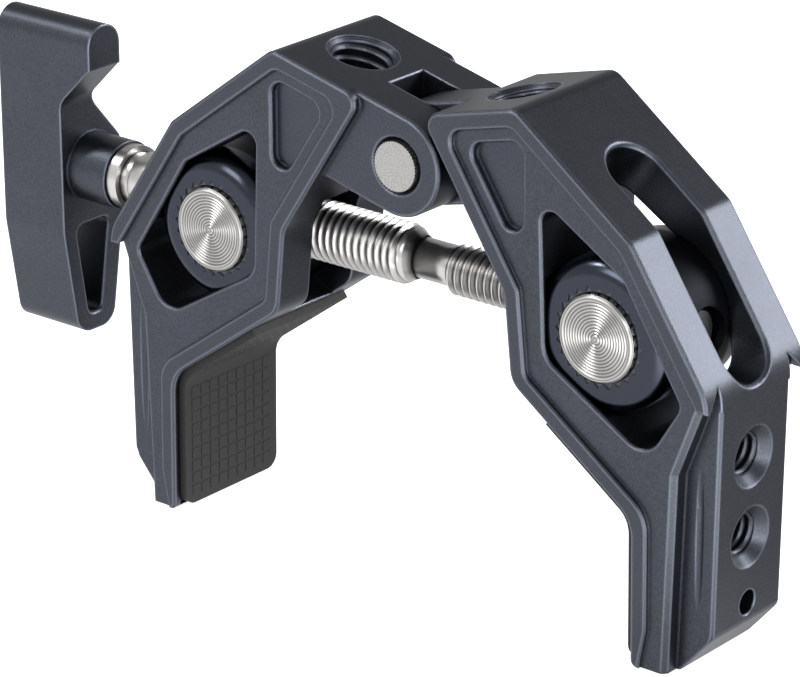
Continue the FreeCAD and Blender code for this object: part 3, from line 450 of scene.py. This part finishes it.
def drum_finish(colours):
    """Turned aluminium, anodised satin black: smoother than the jaws at its ends,
    with a painted shadow, a dark and rougher band round the middle where the
    slot shows it, paler outer edges as a painted highlight, and a dull star recess."""
    finish, tree = new_finish("turned_anodised_aluminium")
    place = object_place(tree, SCREW_HEIGHT)
    grain = noise(tree, place, 0.35)
    parts = split(tree, place)
    off = compute(tree, "ABSOLUTE", parts["Y"])
    # Painted shadow: the band of the drum that the slot shows is darkened and made rougher.
    middle = remap(tree, off, (4.6 * MM, 5.4 * MM), (1.0, 0.0))
    smooth = remap(tree, grain, to_range=(0.16, 0.24))
    normal, edge, _ = round_edges(tree, 0.12)
    # Painted highlight: outer edges of the drum are paler.
    base = blend(tree, edge, tone(colours.drum), tone(colours.edges, 0.6))
    slot_shadow_banded = blend(tree, middle, base, tone(colours.drum, 0.4))
    low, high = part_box("right_trunnion")
    inside = compute(tree, "LESS_THAN", axis_radius(tree, parts), STAR_REACH * MM)
    sunk = compute(tree, "LESS_THAN", off, (high.y - low.y) / 2 - 0.02 * MM)
    star = compute(tree, "MULTIPLY", inside, sunk)
    shader = add_node(tree, "ShaderNodeBsdfPrincipled", Base_Color=slot_shadow_banded,
                      Metallic=compute(tree, "SUBTRACT", 1.0, star),
                      Roughness=compute(tree, "MULTIPLY_ADD", middle, 0.3, smooth),
                      Normal=bump(tree, grain, 0.1, 0.01, normal))
    return close_finish(finish, shader)


def turned_steel_finish(colours, nuts):
    """Stainless steel faced on a lathe: bright, with painted shade darkening the
    bottoms of the grooves. The grooves run round the axis of the nut on either side."""
    finish, tree = new_finish("turned_steel")
    place = object_place(tree, SCREW_HEIGHT)
    grain = noise(tree, place, 0.5)
    ring = (nuts.rings_radius - nuts.dot_radius) / nuts.rings * MM
    turn = compute(tree, "MULTIPLY_ADD", axis_radius(tree, split(tree, place)),
                   math.tau / ring, -math.tau * nuts.dot_radius * MM / ring)
    wave = compute(tree, "COSINE", turn)
    # Painted shade: the colour darkens towards the bottom of each lathe groove.
    groove_shaded = blend(tree, remap(tree, wave, (-1.0, 0.6)), tone(colours.steel, 0.68),
                    tone(colours.steel, 1.03))
    shader = add_node(tree, "ShaderNodeBsdfPrincipled", Base_Color=groove_shaded, Metallic=1.0,
                      Roughness=remap(tree, grain, to_range=(0.26, 0.36)))
    return close_finish(finish, shader)


def blasted_steel_finish(colours):
    """The pin's ends: steel with a coarse sandy face."""
    finish, tree = new_finish("blasted_steel")
    grain = noise(tree, object_place(tree), 0.2, detail=3.0)
    dotted = blend(tree, remap(tree, grain, (0.35, 0.65)), tone(colours.steel, 0.82),
                   tone(colours.steel, 1.04))
    shader = add_node(tree, "ShaderNodeBsdfPrincipled", Base_Color=dotted, Metallic=1.0,
                      Roughness=0.34, Normal=bump(tree, grain, 0.8, 0.12))
    return close_finish(finish, shader)


def thread_steel_finish(colours):
    """Rolled stainless steel: bright and smooth, slightly streaked along the
    thread, with painted shade darkening its roots."""
    finish, tree = new_finish("rolled_stainless_steel")
    streaks = noise(tree, object_place(tree), 1.2, detail=3.0)
    # Painted shade: roots and inner corners are darkened where the occlusion finds them.
    root_shaded = blend(tree, remap(tree, openness(tree, 0.8), (0.45, 0.9)),
                  tone(colours.steel, 0.4), tone(colours.steel, 1.12))
    shader = add_node(tree, "ShaderNodeBsdfPrincipled", Base_Color=root_shaded, Metallic=1.0,
                      Roughness=remap(tree, streaks, to_range=(0.26, 0.34)))
    return close_finish(finish, shader)


def rubber_finish(colours):
    """Moulded rubber: near black and matt, with a faint uneven bloom."""
    finish, tree = new_finish("moulded_rubber")
    grain = noise(tree, object_place(tree), 0.4, detail=3.0)
    shader = add_node(tree, "ShaderNodeBsdfPrincipled", Base_Color=tone(colours.rubber),
                      IOR=1.52, Roughness=remap(tree, grain, to_range=(0.55, 0.75)),
                      Normal=bump(tree, grain, 0.3, 0.05))
    return close_finish(finish, shader)


def studio_floor_finish():
    """Plain white paper that stays white to the camera and keeps a soft shadow.
    Metal sees darker paper with a glow, as under low reflectors: strongest at the
    front right, and behind the clamp only on the left, so that edges stand out."""
    finish, tree = new_finish("white_paper")
    path = add_node(tree, "ShaderNodeLightPath").outputs
    grey = remap(tree, path["Is Glossy Ray"], to_range=(0.9, 0.35))
    paper = add_node(tree, "ShaderNodeBsdfDiffuse", Color=grey)
    parts = split(tree, add_node(tree, "ShaderNodeTexCoord").outputs["Object"])
    left = remap(tree, parts["Y"], (-0.01, 0.03), (1.02, 0.6))
    middle = remap(tree, parts["Y"], (-0.03, 0.05), (1.02, 0.2))
    right = remap(tree, parts["Y"], (-0.03, 0.02), (3.0, 0.22))
    near = blend_values(tree, remap(tree, parts["X"], (-0.03, -0.01)), left, middle)
    mirrored = blend_values(tree, remap(tree, parts["X"], (0.055, 0.08)), near, right)
    glossy = compute(tree, "MULTIPLY", path["Is Glossy Ray"], mirrored)
    strength = compute(tree, "MULTIPLY_ADD", path["Is Camera Ray"], 0.8, glossy)
    glow = add_node(tree, "ShaderNodeEmission", Color=(1, 1, 1, 1), Strength=strength)
    shader = add_node(tree, "ShaderNodeAddShader", i0=paper.outputs[0], i1=glow.outputs[0])
    return close_finish(finish, shader)


# Sizes and colours that a user would change
def colour_property(name, description, code):
    """A colour, given as a hex code."""
    return FloatVectorProperty(name=name, description=description + ", sRGB", size=3, min=0,
                               max=1, default=srgb(code))


def length_property(name, description, millimetres):
    """A length above nothing."""
    return FloatProperty(name=name, description=description + ", in millimetres",
                         default=millimetres, min=0.01, unit="NONE")


def place_property(name, millimetres):
    """A place along X, which may be below nothing."""
    return FloatProperty(name=name, description="Along the screw, in millimetres",
                         default=millimetres)


class ClampColours(bpy.types.PropertyGroup):
    anodised: colour_property("Anodised", "Bead-blasted jaws and lever", "#474a51")
    # The paler edge colour is a painted highlight along outer edges, partly wear.
    edges: colour_property("Edges", "Paler broken edges of the anodised pieces", "#7c808e")
    drum: colour_property("Drum", "Turned trunnion drums", "#3c3f48")
    steel: colour_property("Steel", "Screw, nuts, pin and washer", "#b4b3b1")
    rubber: colour_property("Rubber", "Pads", "#161617")


class ClampThreads(bpy.types.PropertyGroup):
    main_radius: length_property("Large thread", "Outside radius of the screw", 4.25)
    main_start: place_property("Large thread start", -50.0)
    main_end: place_property("Large thread end", -5.8)
    pitch: length_property("Pitch", "Advance of both threads in one turn", 1.25)
    depth: length_property("Depth", "Crest to root of the screw threads", 0.68)
    tail_radius: length_property("Small thread", "Outside radius of the far end", 3.75)
    tail_start: place_property("Small thread start", 2.7)
    tail_end: place_property("Small thread end", 42.0)
    top_pitch: length_property("Large hole pitch", "Thread of the holes in the top faces", 1.5875)
    side_pitch: length_property("Small hole pitch", "Thread of the holes in the legs", 1.27)


class ClampNuts(bpy.types.PropertyGroup):
    rings: IntProperty(name="Rings", description="Lathe grooves on the face of a nut", default=11,
                       min=2)
    dot_radius: length_property("Centre dot", "Flat dot left in the middle", 0.5)
    rings_radius: length_property("Grooved radius", "Outer edge of the grooves", 5.2)
    groove: length_property("Groove depth", "Depth of one groove", 0.13)
    recess: length_property("Star depth", "Depth of the star recess round a nut", 0.25)


class ClampPads(bpy.types.PropertyGroup):
    columns: IntProperty(name="Columns", description="Raised squares across a pad", default=9,
                         min=2)
    rows: IntProperty(name="Rows", description="Raised squares up the flat face of a pad",
                      default=9, min=2)
    slope_rows: IntProperty(name="Slanted rows", description="Raised squares up the slanted face",
                            default=7, min=2)
    height: length_property("Stud height", "How far the squares stand out", 0.06)
    gap: length_property("Stud gap", "Groove between the squares", 0.35)
    pitch: length_property("Stud pitch", "From one square to the next", 1.88)


# Operators and the pieces that they make
class MakeFinishes(bpy.types.Operator):
    """Gives the machined pieces their anodised, turned and rubber finishes"""
    bl_idname = "crab_clamp.make_finishes"
    bl_label = "Finishes of the machined pieces"

    def execute(self, context):
        colours = context.scene.clamp_colours
        anodised = anodised_finish(colours)
        drum = drum_finish(colours)
        rubber = rubber_finish(colours)
        blasted_steel_finish(colours)
        rolled = thread_steel_finish(colours)
        turned_steel_finish(colours, context.scene.clamp_nuts)
        for name, finish in (("left_jaw", anodised), ("right_jaw", anodised), ("handle", anodised),
                             ("left_trunnion", drum), ("right_trunnion", drum),
                             ("left_pad", rubber), ("right_pad", rubber),
                             ("thrust_washer", rolled)):
            node = frame["nodes"][name]
            for slot in node.material_slots:
                slot.material = finish
        return {"FINISHED"}


class MakeScrew(bpy.types.Operator):
    """Models the screw with its two opposite threads, neck, shank and journal"""
    bl_idname = "crab_clamp.make_screw"
    bl_label = "Screw"

    def execute(self, context):
        sizes = context.scene.clamp_threads
        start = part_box("screw")[0].x / MM
        main, tail = sizes.main_radius, sizes.tail_radius
        first, last = sizes.tail_start, sizes.tail_end
        plain = main - CORE_GAP
        main_root = plain - sizes.depth
        tail_root = tail - CORE_GAP - sizes.depth
        shank = turned_solid("shank", [
            (start, 0), (start, TANG_RADIUS), (GROOVE_START, TANG_RADIUS),
            (GROOVE_START, GROOVE_RADIUS), (COLLAR_START, GROOVE_RADIUS),
            (COLLAR_START, COLLAR_RADIUS), (SHANK_START, COLLAR_RADIUS),
            (SHANK_START, plain - SHANK_CHAMFER[1]), (SHANK_START + SHANK_CHAMFER[0], plain),
            (sizes.main_start, plain), (sizes.main_start, main_root),
            (sizes.main_end, main_root), (NECK_START, NECK_RADIUS), (first, NECK_RADIUS),
            (first, tail_root), (last - TAIL_CORE, tail_root), (last - TAIL_CORE, 0)])
        large = thread_bar("large_thread", sizes.main_start, NECK_START, main, sizes, False)
        before, after, inwards = LEAD_IN
        combine(large, "INTERSECT", turned_solid("envelope", [
            (sizes.main_start - before, 0), (sizes.main_start - before, main - inwards),
            (sizes.main_start + after, main + CREST_GAP), (sizes.main_end, main + CREST_GAP),
            (NECK_START, NECK_RADIUS), (NECK_START, 0)]))
        small = thread_bar("small_thread", first, last, tail, sizes, True)
        along, inwards = TAIL_CHAMFER
        combine(small, "INTERSECT", turned_solid("envelope", [
            (first, 0), (first, NECK_RADIUS), (first + along, tail + CREST_GAP),
            (last - along, tail + CREST_GAP), (last, tail - inwards), (last, 0)]))
        screw = join([shank, large, small])
        begin_edit(screw)
        end_edit(smooth_angle=35)
        dress(screw, "screw_with_threads", "screw", "screw",
              bpy.data.materials["rolled_stainless_steel"], "screw")
        return {"FINISHED"}


class MakeCrossNuts(bpy.types.Operator):
    """Models the steel cross nuts with the lathe's grooves on their faces"""
    bl_idname = "crab_clamp.make_cross_nuts"
    bl_label = "Cross nuts"

    def execute(self, context):
        threads = context.scene.clamp_threads
        for side, reach, screw in (("left", -TRUNNION_REACH, threads.main_radius),
                                   ("right", TRUNNION_REACH, threads.tail_radius)):
            nut = cross_nut(context.scene.clamp_nuts, reach, screw + BORE_GAP)
            dress(nut, f"{side}_turned_nut", f"{side}_trunnion", "steel",
                  bpy.data.materials["turned_steel"], f"{side}_cross_nut")
            seat = recess_floor(context.scene.clamp_nuts, reach)
            dress(seat, f"{side}_recess_floor", f"{side}_trunnion", "drum",
                  bpy.data.materials["turned_anodised_aluminium"])
        return {"FINISHED"}


def cross_nut(sizes, reach, bore):
    """A turned bar along Y with grooved ends, bored across for the screw."""
    low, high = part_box("right_cross_nut")
    half = (high.y - low.y) / 2 / MM
    radius = (high.z - low.z) / 2 / MM
    ring = (sizes.rings_radius - sizes.dot_radius) / sizes.rings
    face = [(0, half), (sizes.dot_radius, half)]
    for i in range(sizes.rings):
        start = sizes.dot_radius + i * ring
        face += [(start + ring * 0.45, half - sizes.groove), (start + ring, half)]
    face += [(radius - BEVEL_WIDTH, half), (radius - BEVEL_FOOT[0], half - BEVEL_FOOT[1]),
             (radius, half - RIM_TOP), (radius, half - RIM_FOOT), (radius, half - WALL_FOOT)]
    points = face + [(r, -y) for r, y in reversed(face)]
    nut = line_profile("cross_nut", [(reach + r * MM, y * MM) for r, y in points])
    spin_about_nut(reach)

    def in_rim(v):
        middle = half - (RIM_TOP + RIM_FOOT) / 2
        return abs(abs(v.co.y) / MM - middle) < RIM_FOOT - RIM_TOP
    cut_notches(nut, Vector((reach, 0, SCREW_HEIGHT)), radius * MM, NUT_STEPS,
                NUT_STEPS_PER_NOTCH, in_rim)
    end_edit(smooth_angle=25)
    bpy.ops.mesh.primitive_cylinder_add(vertices=HOLE_STEPS, radius=bore * MM,
                                        depth=4 * radius * MM, location=(reach, 0, SCREW_HEIGHT),
                                        rotation=(0, math.pi / 2, 0))
    combine(nut, "DIFFERENCE", bpy.context.object)
    return nut


def recess_floor(sizes, reach):
    """A flat ring in each end of the drum, which leaves its star recess shallow."""
    low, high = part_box("right_trunnion")
    face = (high.y - low.y) / 2 / MM
    inner = (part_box("right_cross_nut")[1].z - SCREW_HEIGHT) / MM + SEAT_GAP
    corners = [(inner, SEAT_FOOT), (inner, sizes.recess), (STAR_REACH, sizes.recess),
               (STAR_REACH, SEAT_FOOT), (inner, SEAT_FOOT)]
    rings = []
    for sign in (-1, 1):
        ring = line_profile("recess_floor", [(reach + r * MM, sign * (face - y) * MM)
                                             for r, y in corners])
        spin_about_nut(reach)
        end_edit()
        rings.append(ring)
    return join(rings)


class MakeHoleThreads(bpy.types.Operator):
    """Models the threads of the accessory holes, as ridges on their walls"""
    bl_idname = "crab_clamp.make_hole_threads"
    bl_label = "Threads of the accessory holes"

    def execute(self, context):
        sizes = context.scene.clamp_threads
        finish = bpy.data.materials["blasted_anodised_aluminium"]
        for mount in frame["record"]["mounts"]:
            if mount["kind"] != "threaded_hole":
                continue
            pitch = sizes.top_pitch if "top" in mount["name"] else sizes.side_pitch
            ridge = hole_ridge(mount, pitch)
            dress(ridge, mount["name"] + "_ridge", mount["name"].split("_")[0] + "_jaw", "jaw",
                  finish)
        return {"FINISHED"}


def hole_ridge(mount, pitch):
    """A helical ridge on the wall of a threaded hole, cut off at its cone."""
    radius = mount["dims"]["r_mm"]
    length = mount["dims"]["length_mm"]
    depth = pitch * 0.31
    foot, crest = pitch * 0.44, pitch * 0.09
    corners = [(radius + BITE, -foot), (radius - depth, -crest), (radius - depth, crest),
               (radius + BITE, foot), (radius + BITE, -foot)]
    first = -length / 2 - pitch / 2
    ridge = line_profile("ridge", [(r * MM, (first + z) * MM) for r, z in corners])
    bpy.ops.mesh.select_all(action="SELECT")
    bpy.ops.mesh.remove_doubles(threshold=2 * WELD)
    bpy.ops.object.mode_set(mode="OBJECT")
    screw = ridge.modifiers.new("thread", "SCREW")
    screw.axis = "Z"
    screw.steps = screw.render_steps = RIDGE_STEPS
    screw.iterations = math.ceil(length / pitch) + 1
    screw.screw_offset = pitch * MM
    screw.angle = math.tau
    apply_all(ridge)
    begin_edit(ridge)
    pick_open_edges()
    bpy.ops.mesh.edge_face_add()
    end_edit()
    outside = radius + 2 * BITE
    low, high = -length / 2, length / 2 + BITE
    envelope = line_profile("envelope", [(0, low * MM), (outside * MM, low * MM),
                                         (outside * MM, high * MM), (0, (high - outside) * MM)])
    bpy.ops.mesh.select_all(action="SELECT")
    bpy.ops.mesh.spin(steps=HOLE_STEPS, angle=math.tau, center=(0, 0, 0), axis=ALONG_Z)
    end_edit()
    combine(ridge, "INTERSECT", envelope)
    axis = Vector(mount["axis"]).normalized()
    turn = axis.to_track_quat("Z", "Y").to_matrix().to_4x4()
    ridge.matrix_world = Matrix.Translation(Vector(mount["pos_m"])) @ turn
    settle(ridge)
    return ridge


class MakePadStuds(bpy.types.Operator):
    """Models the grid of small raised squares on the rubber pads"""
    bl_idname = "crab_clamp.make_pad_studs"
    bl_label = "Studs of the pads"

    def execute(self, context):
        finish = bpy.data.materials["moulded_rubber"]
        sizes = context.scene.clamp_pads
        for side in ("left", "right"):
            face = next(m for m in frame["record"]["mounts"] if m["name"] == f"{side}_pad_face")
            outward = Vector(face["axis"]).normalized()
            flat = stud_field(sizes, Vector(face["pos_m"]), outward, sizes.rows)
            centre, slant = slanted_face(frame["nodes"][f"{side}_pad"], outward)
            slope = stud_field(sizes, centre, slant, sizes.slope_rows)
            studs = join([flat, slope])
            dress(studs, f"{side}_pad_studs", f"{side}_jaw", "pad", finish)
        return {"FINISHED"}


def slanted_face(pad, outward):
    """The middle and the normal of the pad's slanted upper face."""
    turn = pad.matrix_world.to_3x3()
    faces = [(face, (turn @ face.normal).normalized()) for face in pad.data.polygons]
    faces = [(f, n) for f, n in faces
             if 0.3 < n.dot(outward) < 0.9 and abs(n.y) < 0.05 and n.z < 0]
    normal = max(faces, key=lambda pair: pair[0].area)[1]
    level = [f for f, n in faces if n.dot(normal) > 0.9999]
    total = sum(f.area for f in level)
    middle = sum((pad.matrix_world @ f.center * f.area for f in level), Vector()) / total
    return middle, normal


def stud_field(sizes, centre, outward, rows):
    """Raised squares in a flat field, centred on a point of the pad's face."""
    clear_selection()
    bpy.ops.mesh.primitive_grid_add(x_subdivisions=sizes.columns, y_subdivisions=rows, size=1)
    field = bpy.context.object
    field.scale = (sizes.columns * sizes.pitch * MM, rows * sizes.pitch * MM, 1)
    settle(field)
    begin_edit(field)
    bpy.ops.mesh.select_mode(type="FACE")
    bpy.ops.mesh.select_all(action="SELECT")
    bpy.ops.mesh.inset(thickness=sizes.gap / 2 * MM, use_individual=True)
    bpy.ops.mesh.select_all(action="INVERT")
    bpy.ops.mesh.delete(type="FACE")
    bpy.ops.object.mode_set(mode="OBJECT")
    wall = field.modifiers.new("height", "SOLIDIFY")
    wall.thickness = (sizes.height + BITE) * MM
    wall.offset = 1
    apply_all(field)
    begin_edit(field)
    end_edit()
    across = ALONG_Y
    upward = outward.cross(across)
    turn = Matrix((across, upward, across.cross(upward))).transposed().to_4x4()
    field.matrix_world = Matrix.Translation(centre - outward * BITE * MM) @ turn
    settle(field)
    return field


class MakePin(bpy.types.Operator):
    """Models the hinge pin with its knurled rim and flat ends"""
    bl_idname = "crab_clamp.make_pin"
    bl_label = "Hinge pin"

    def execute(self, context):
        low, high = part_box("hinge_pin")
        radius = (high.x - low.x) / 2
        centre = (low + high) / 2
        clear_selection()
        bpy.ops.mesh.primitive_cylinder_add(vertices=PIN_STEPS, radius=radius,
                                            depth=high.y - low.y, location=centre,
                                            rotation=(math.pi / 2, 0, 0))
        pin = bpy.context.object
        settle(pin)
        begin_edit(pin)
        pick(pin, "FACE", lambda f: abs(f.normal.y) > 0.9)
        bpy.ops.mesh.inset(thickness=PIN_RIM * MM, use_individual=True)
        cut_notches(pin, centre, radius, PIN_STEPS, PIN_STEPS_PER_NOTCH)
        end_edit(smooth_angle=20)
        dress(pin, "knurled_pin", "left_jaw", "steel", bpy.data.materials["blasted_steel"],
              "hinge_pin")
        return {"FINISHED"}


class MakeStage(bpy.types.Operator):
    """Sets the floor, the soft lights, the white surroundings and the camera"""
    bl_idname = "crab_clamp.make_stage"
    bl_label = "Studio"

    def execute(self, context):
        clear_selection()
        bpy.ops.mesh.primitive_plane_add(size=FLOOR_SIZE, location=(0, 0, FLOOR_HEIGHT))
        floor = bpy.context.object
        floor.name = "floor"
        floor.data.materials.append(studio_floor_finish())
        for lamp in LAMPS:
            add_lamp(*lamp)
        add_surroundings(context.scene)
        add_camera(context.scene)
        return {"FINISHED"}


def add_lamp(name, place, size, power):
    """A square lamp that faces the middle of the clamp."""
    data = bpy.data.lights.new(name, "AREA")
    data.shape = "SQUARE"
    data.size = size
    data.energy = power
    lamp = bpy.data.objects.new(name, data)
    bpy.context.collection.objects.link(lamp)
    lamp.location = place
    aim = LAMP_AIM - Vector(place)
    lamp.rotation_euler = aim.to_track_quat("-Z", "Y").to_euler()


def add_surroundings(scene):
    """White for what the camera sees, and dimmer as light and in mirrors towards
    the back and the top."""
    world = bpy.data.worlds.new("studio")
    scene.world = world
    world.use_nodes = True
    tree = world.node_tree
    tree.nodes.clear()
    parts = split(tree, add_node(tree, "ShaderNodeTexCoord").outputs["Generated"])
    depth = remap(tree, parts["Y"], (-0.2, 0.5), (0.95, 0.6))
    height = remap(tree, parts["Z"], (0.0, 0.9), (1.0, 0.4))
    fade = compute(tree, "MULTIPLY", depth, height)
    path = add_node(tree, "ShaderNodeLightPath").outputs
    strength = blend_values(tree, path["Is Camera Ray"], fade, 1.0)
    light = add_node(tree, "ShaderNodeBackground", Color=(1, 1, 1, 1), Strength=strength)
    add_node(tree, "ShaderNodeOutputWorld", Surface=light.outputs[0])


def add_camera(scene):
    """The photograph's camera."""
    data = bpy.data.cameras.new("camera")
    data.sensor_width = CAMERA_SENSOR
    data.lens = CAMERA_LENS
    data.clip_start, data.clip_end = CAMERA_CLIP
    camera = bpy.data.objects.new("camera", data)
    bpy.context.collection.objects.link(camera)
    camera.location = CAMERA_PLACE
    camera.rotation_mode = "QUATERNION"
    level = (Vector(CAMERA_AIM) - Vector(CAMERA_PLACE)).to_track_quat("-Z", "Y")
    camera.rotation_quaternion = level @ Quaternion((0, 0, 1), math.radians(CAMERA_ROLL))
    scene.camera = camera
    scene.view_settings.view_transform = "Standard"


class ClampPanel(bpy.types.Panel):
    """Lists the pieces of the crab clamp and their sizes"""
    bl_idname = "VIEW3D_PT_crab_clamp"
    bl_label = "Crab Clamp"
    bl_space_type = "VIEW_3D"
    bl_region_type = "UI"
    bl_category = "Crab Clamp"

    def draw(self, context):
        for group in [getattr(context.scene, name) for name in GROUPS]:
            box = self.layout.box()
            for name in group.bl_rna.properties.keys():
                if name not in ("rna_type", "name"):
                    box.prop(group, name)
        for operator in STEPS:
            self.layout.operator(operator.bl_idname)


GROUPS = {"clamp_colours": ClampColours, "clamp_threads": ClampThreads, "clamp_nuts": ClampNuts,
          "clamp_pads": ClampPads}
STEPS = [MakeFinishes, MakeScrew, MakeCrossNuts, MakeHoleThreads, MakePadStuds, MakePin, MakeStage]


def register():
    """Adds the sizes, the operators and the panel to Blender."""
    for kind in [*GROUPS.values(), *STEPS, ClampPanel]:
        bpy.utils.register_class(kind)
    for name, group in GROUPS.items():
        setattr(bpy.types.Scene, name, PointerProperty(type=group))


def unregister():
    """Takes out what register adds."""
    for name in GROUPS:
        delattr(bpy.types.Scene, name)
    for kind in reversed([*GROUPS.values(), *STEPS, ClampPanel]):
        bpy.utils.unregister_class(kind)


def main():
    """Makes every piece and the studio."""
    register()
    bpy.ops.crab_clamp.make_finishes()
    bpy.ops.crab_clamp.make_screw()
    bpy.ops.crab_clamp.make_cross_nuts()
    bpy.ops.crab_clamp.make_hole_threads()
    bpy.ops.crab_clamp.make_pad_studs()
    bpy.ops.crab_clamp.make_pin()
    bpy.ops.crab_clamp.make_stage()
    clear_selection()
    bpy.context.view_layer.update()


if __name__ == "__main__":
    main()
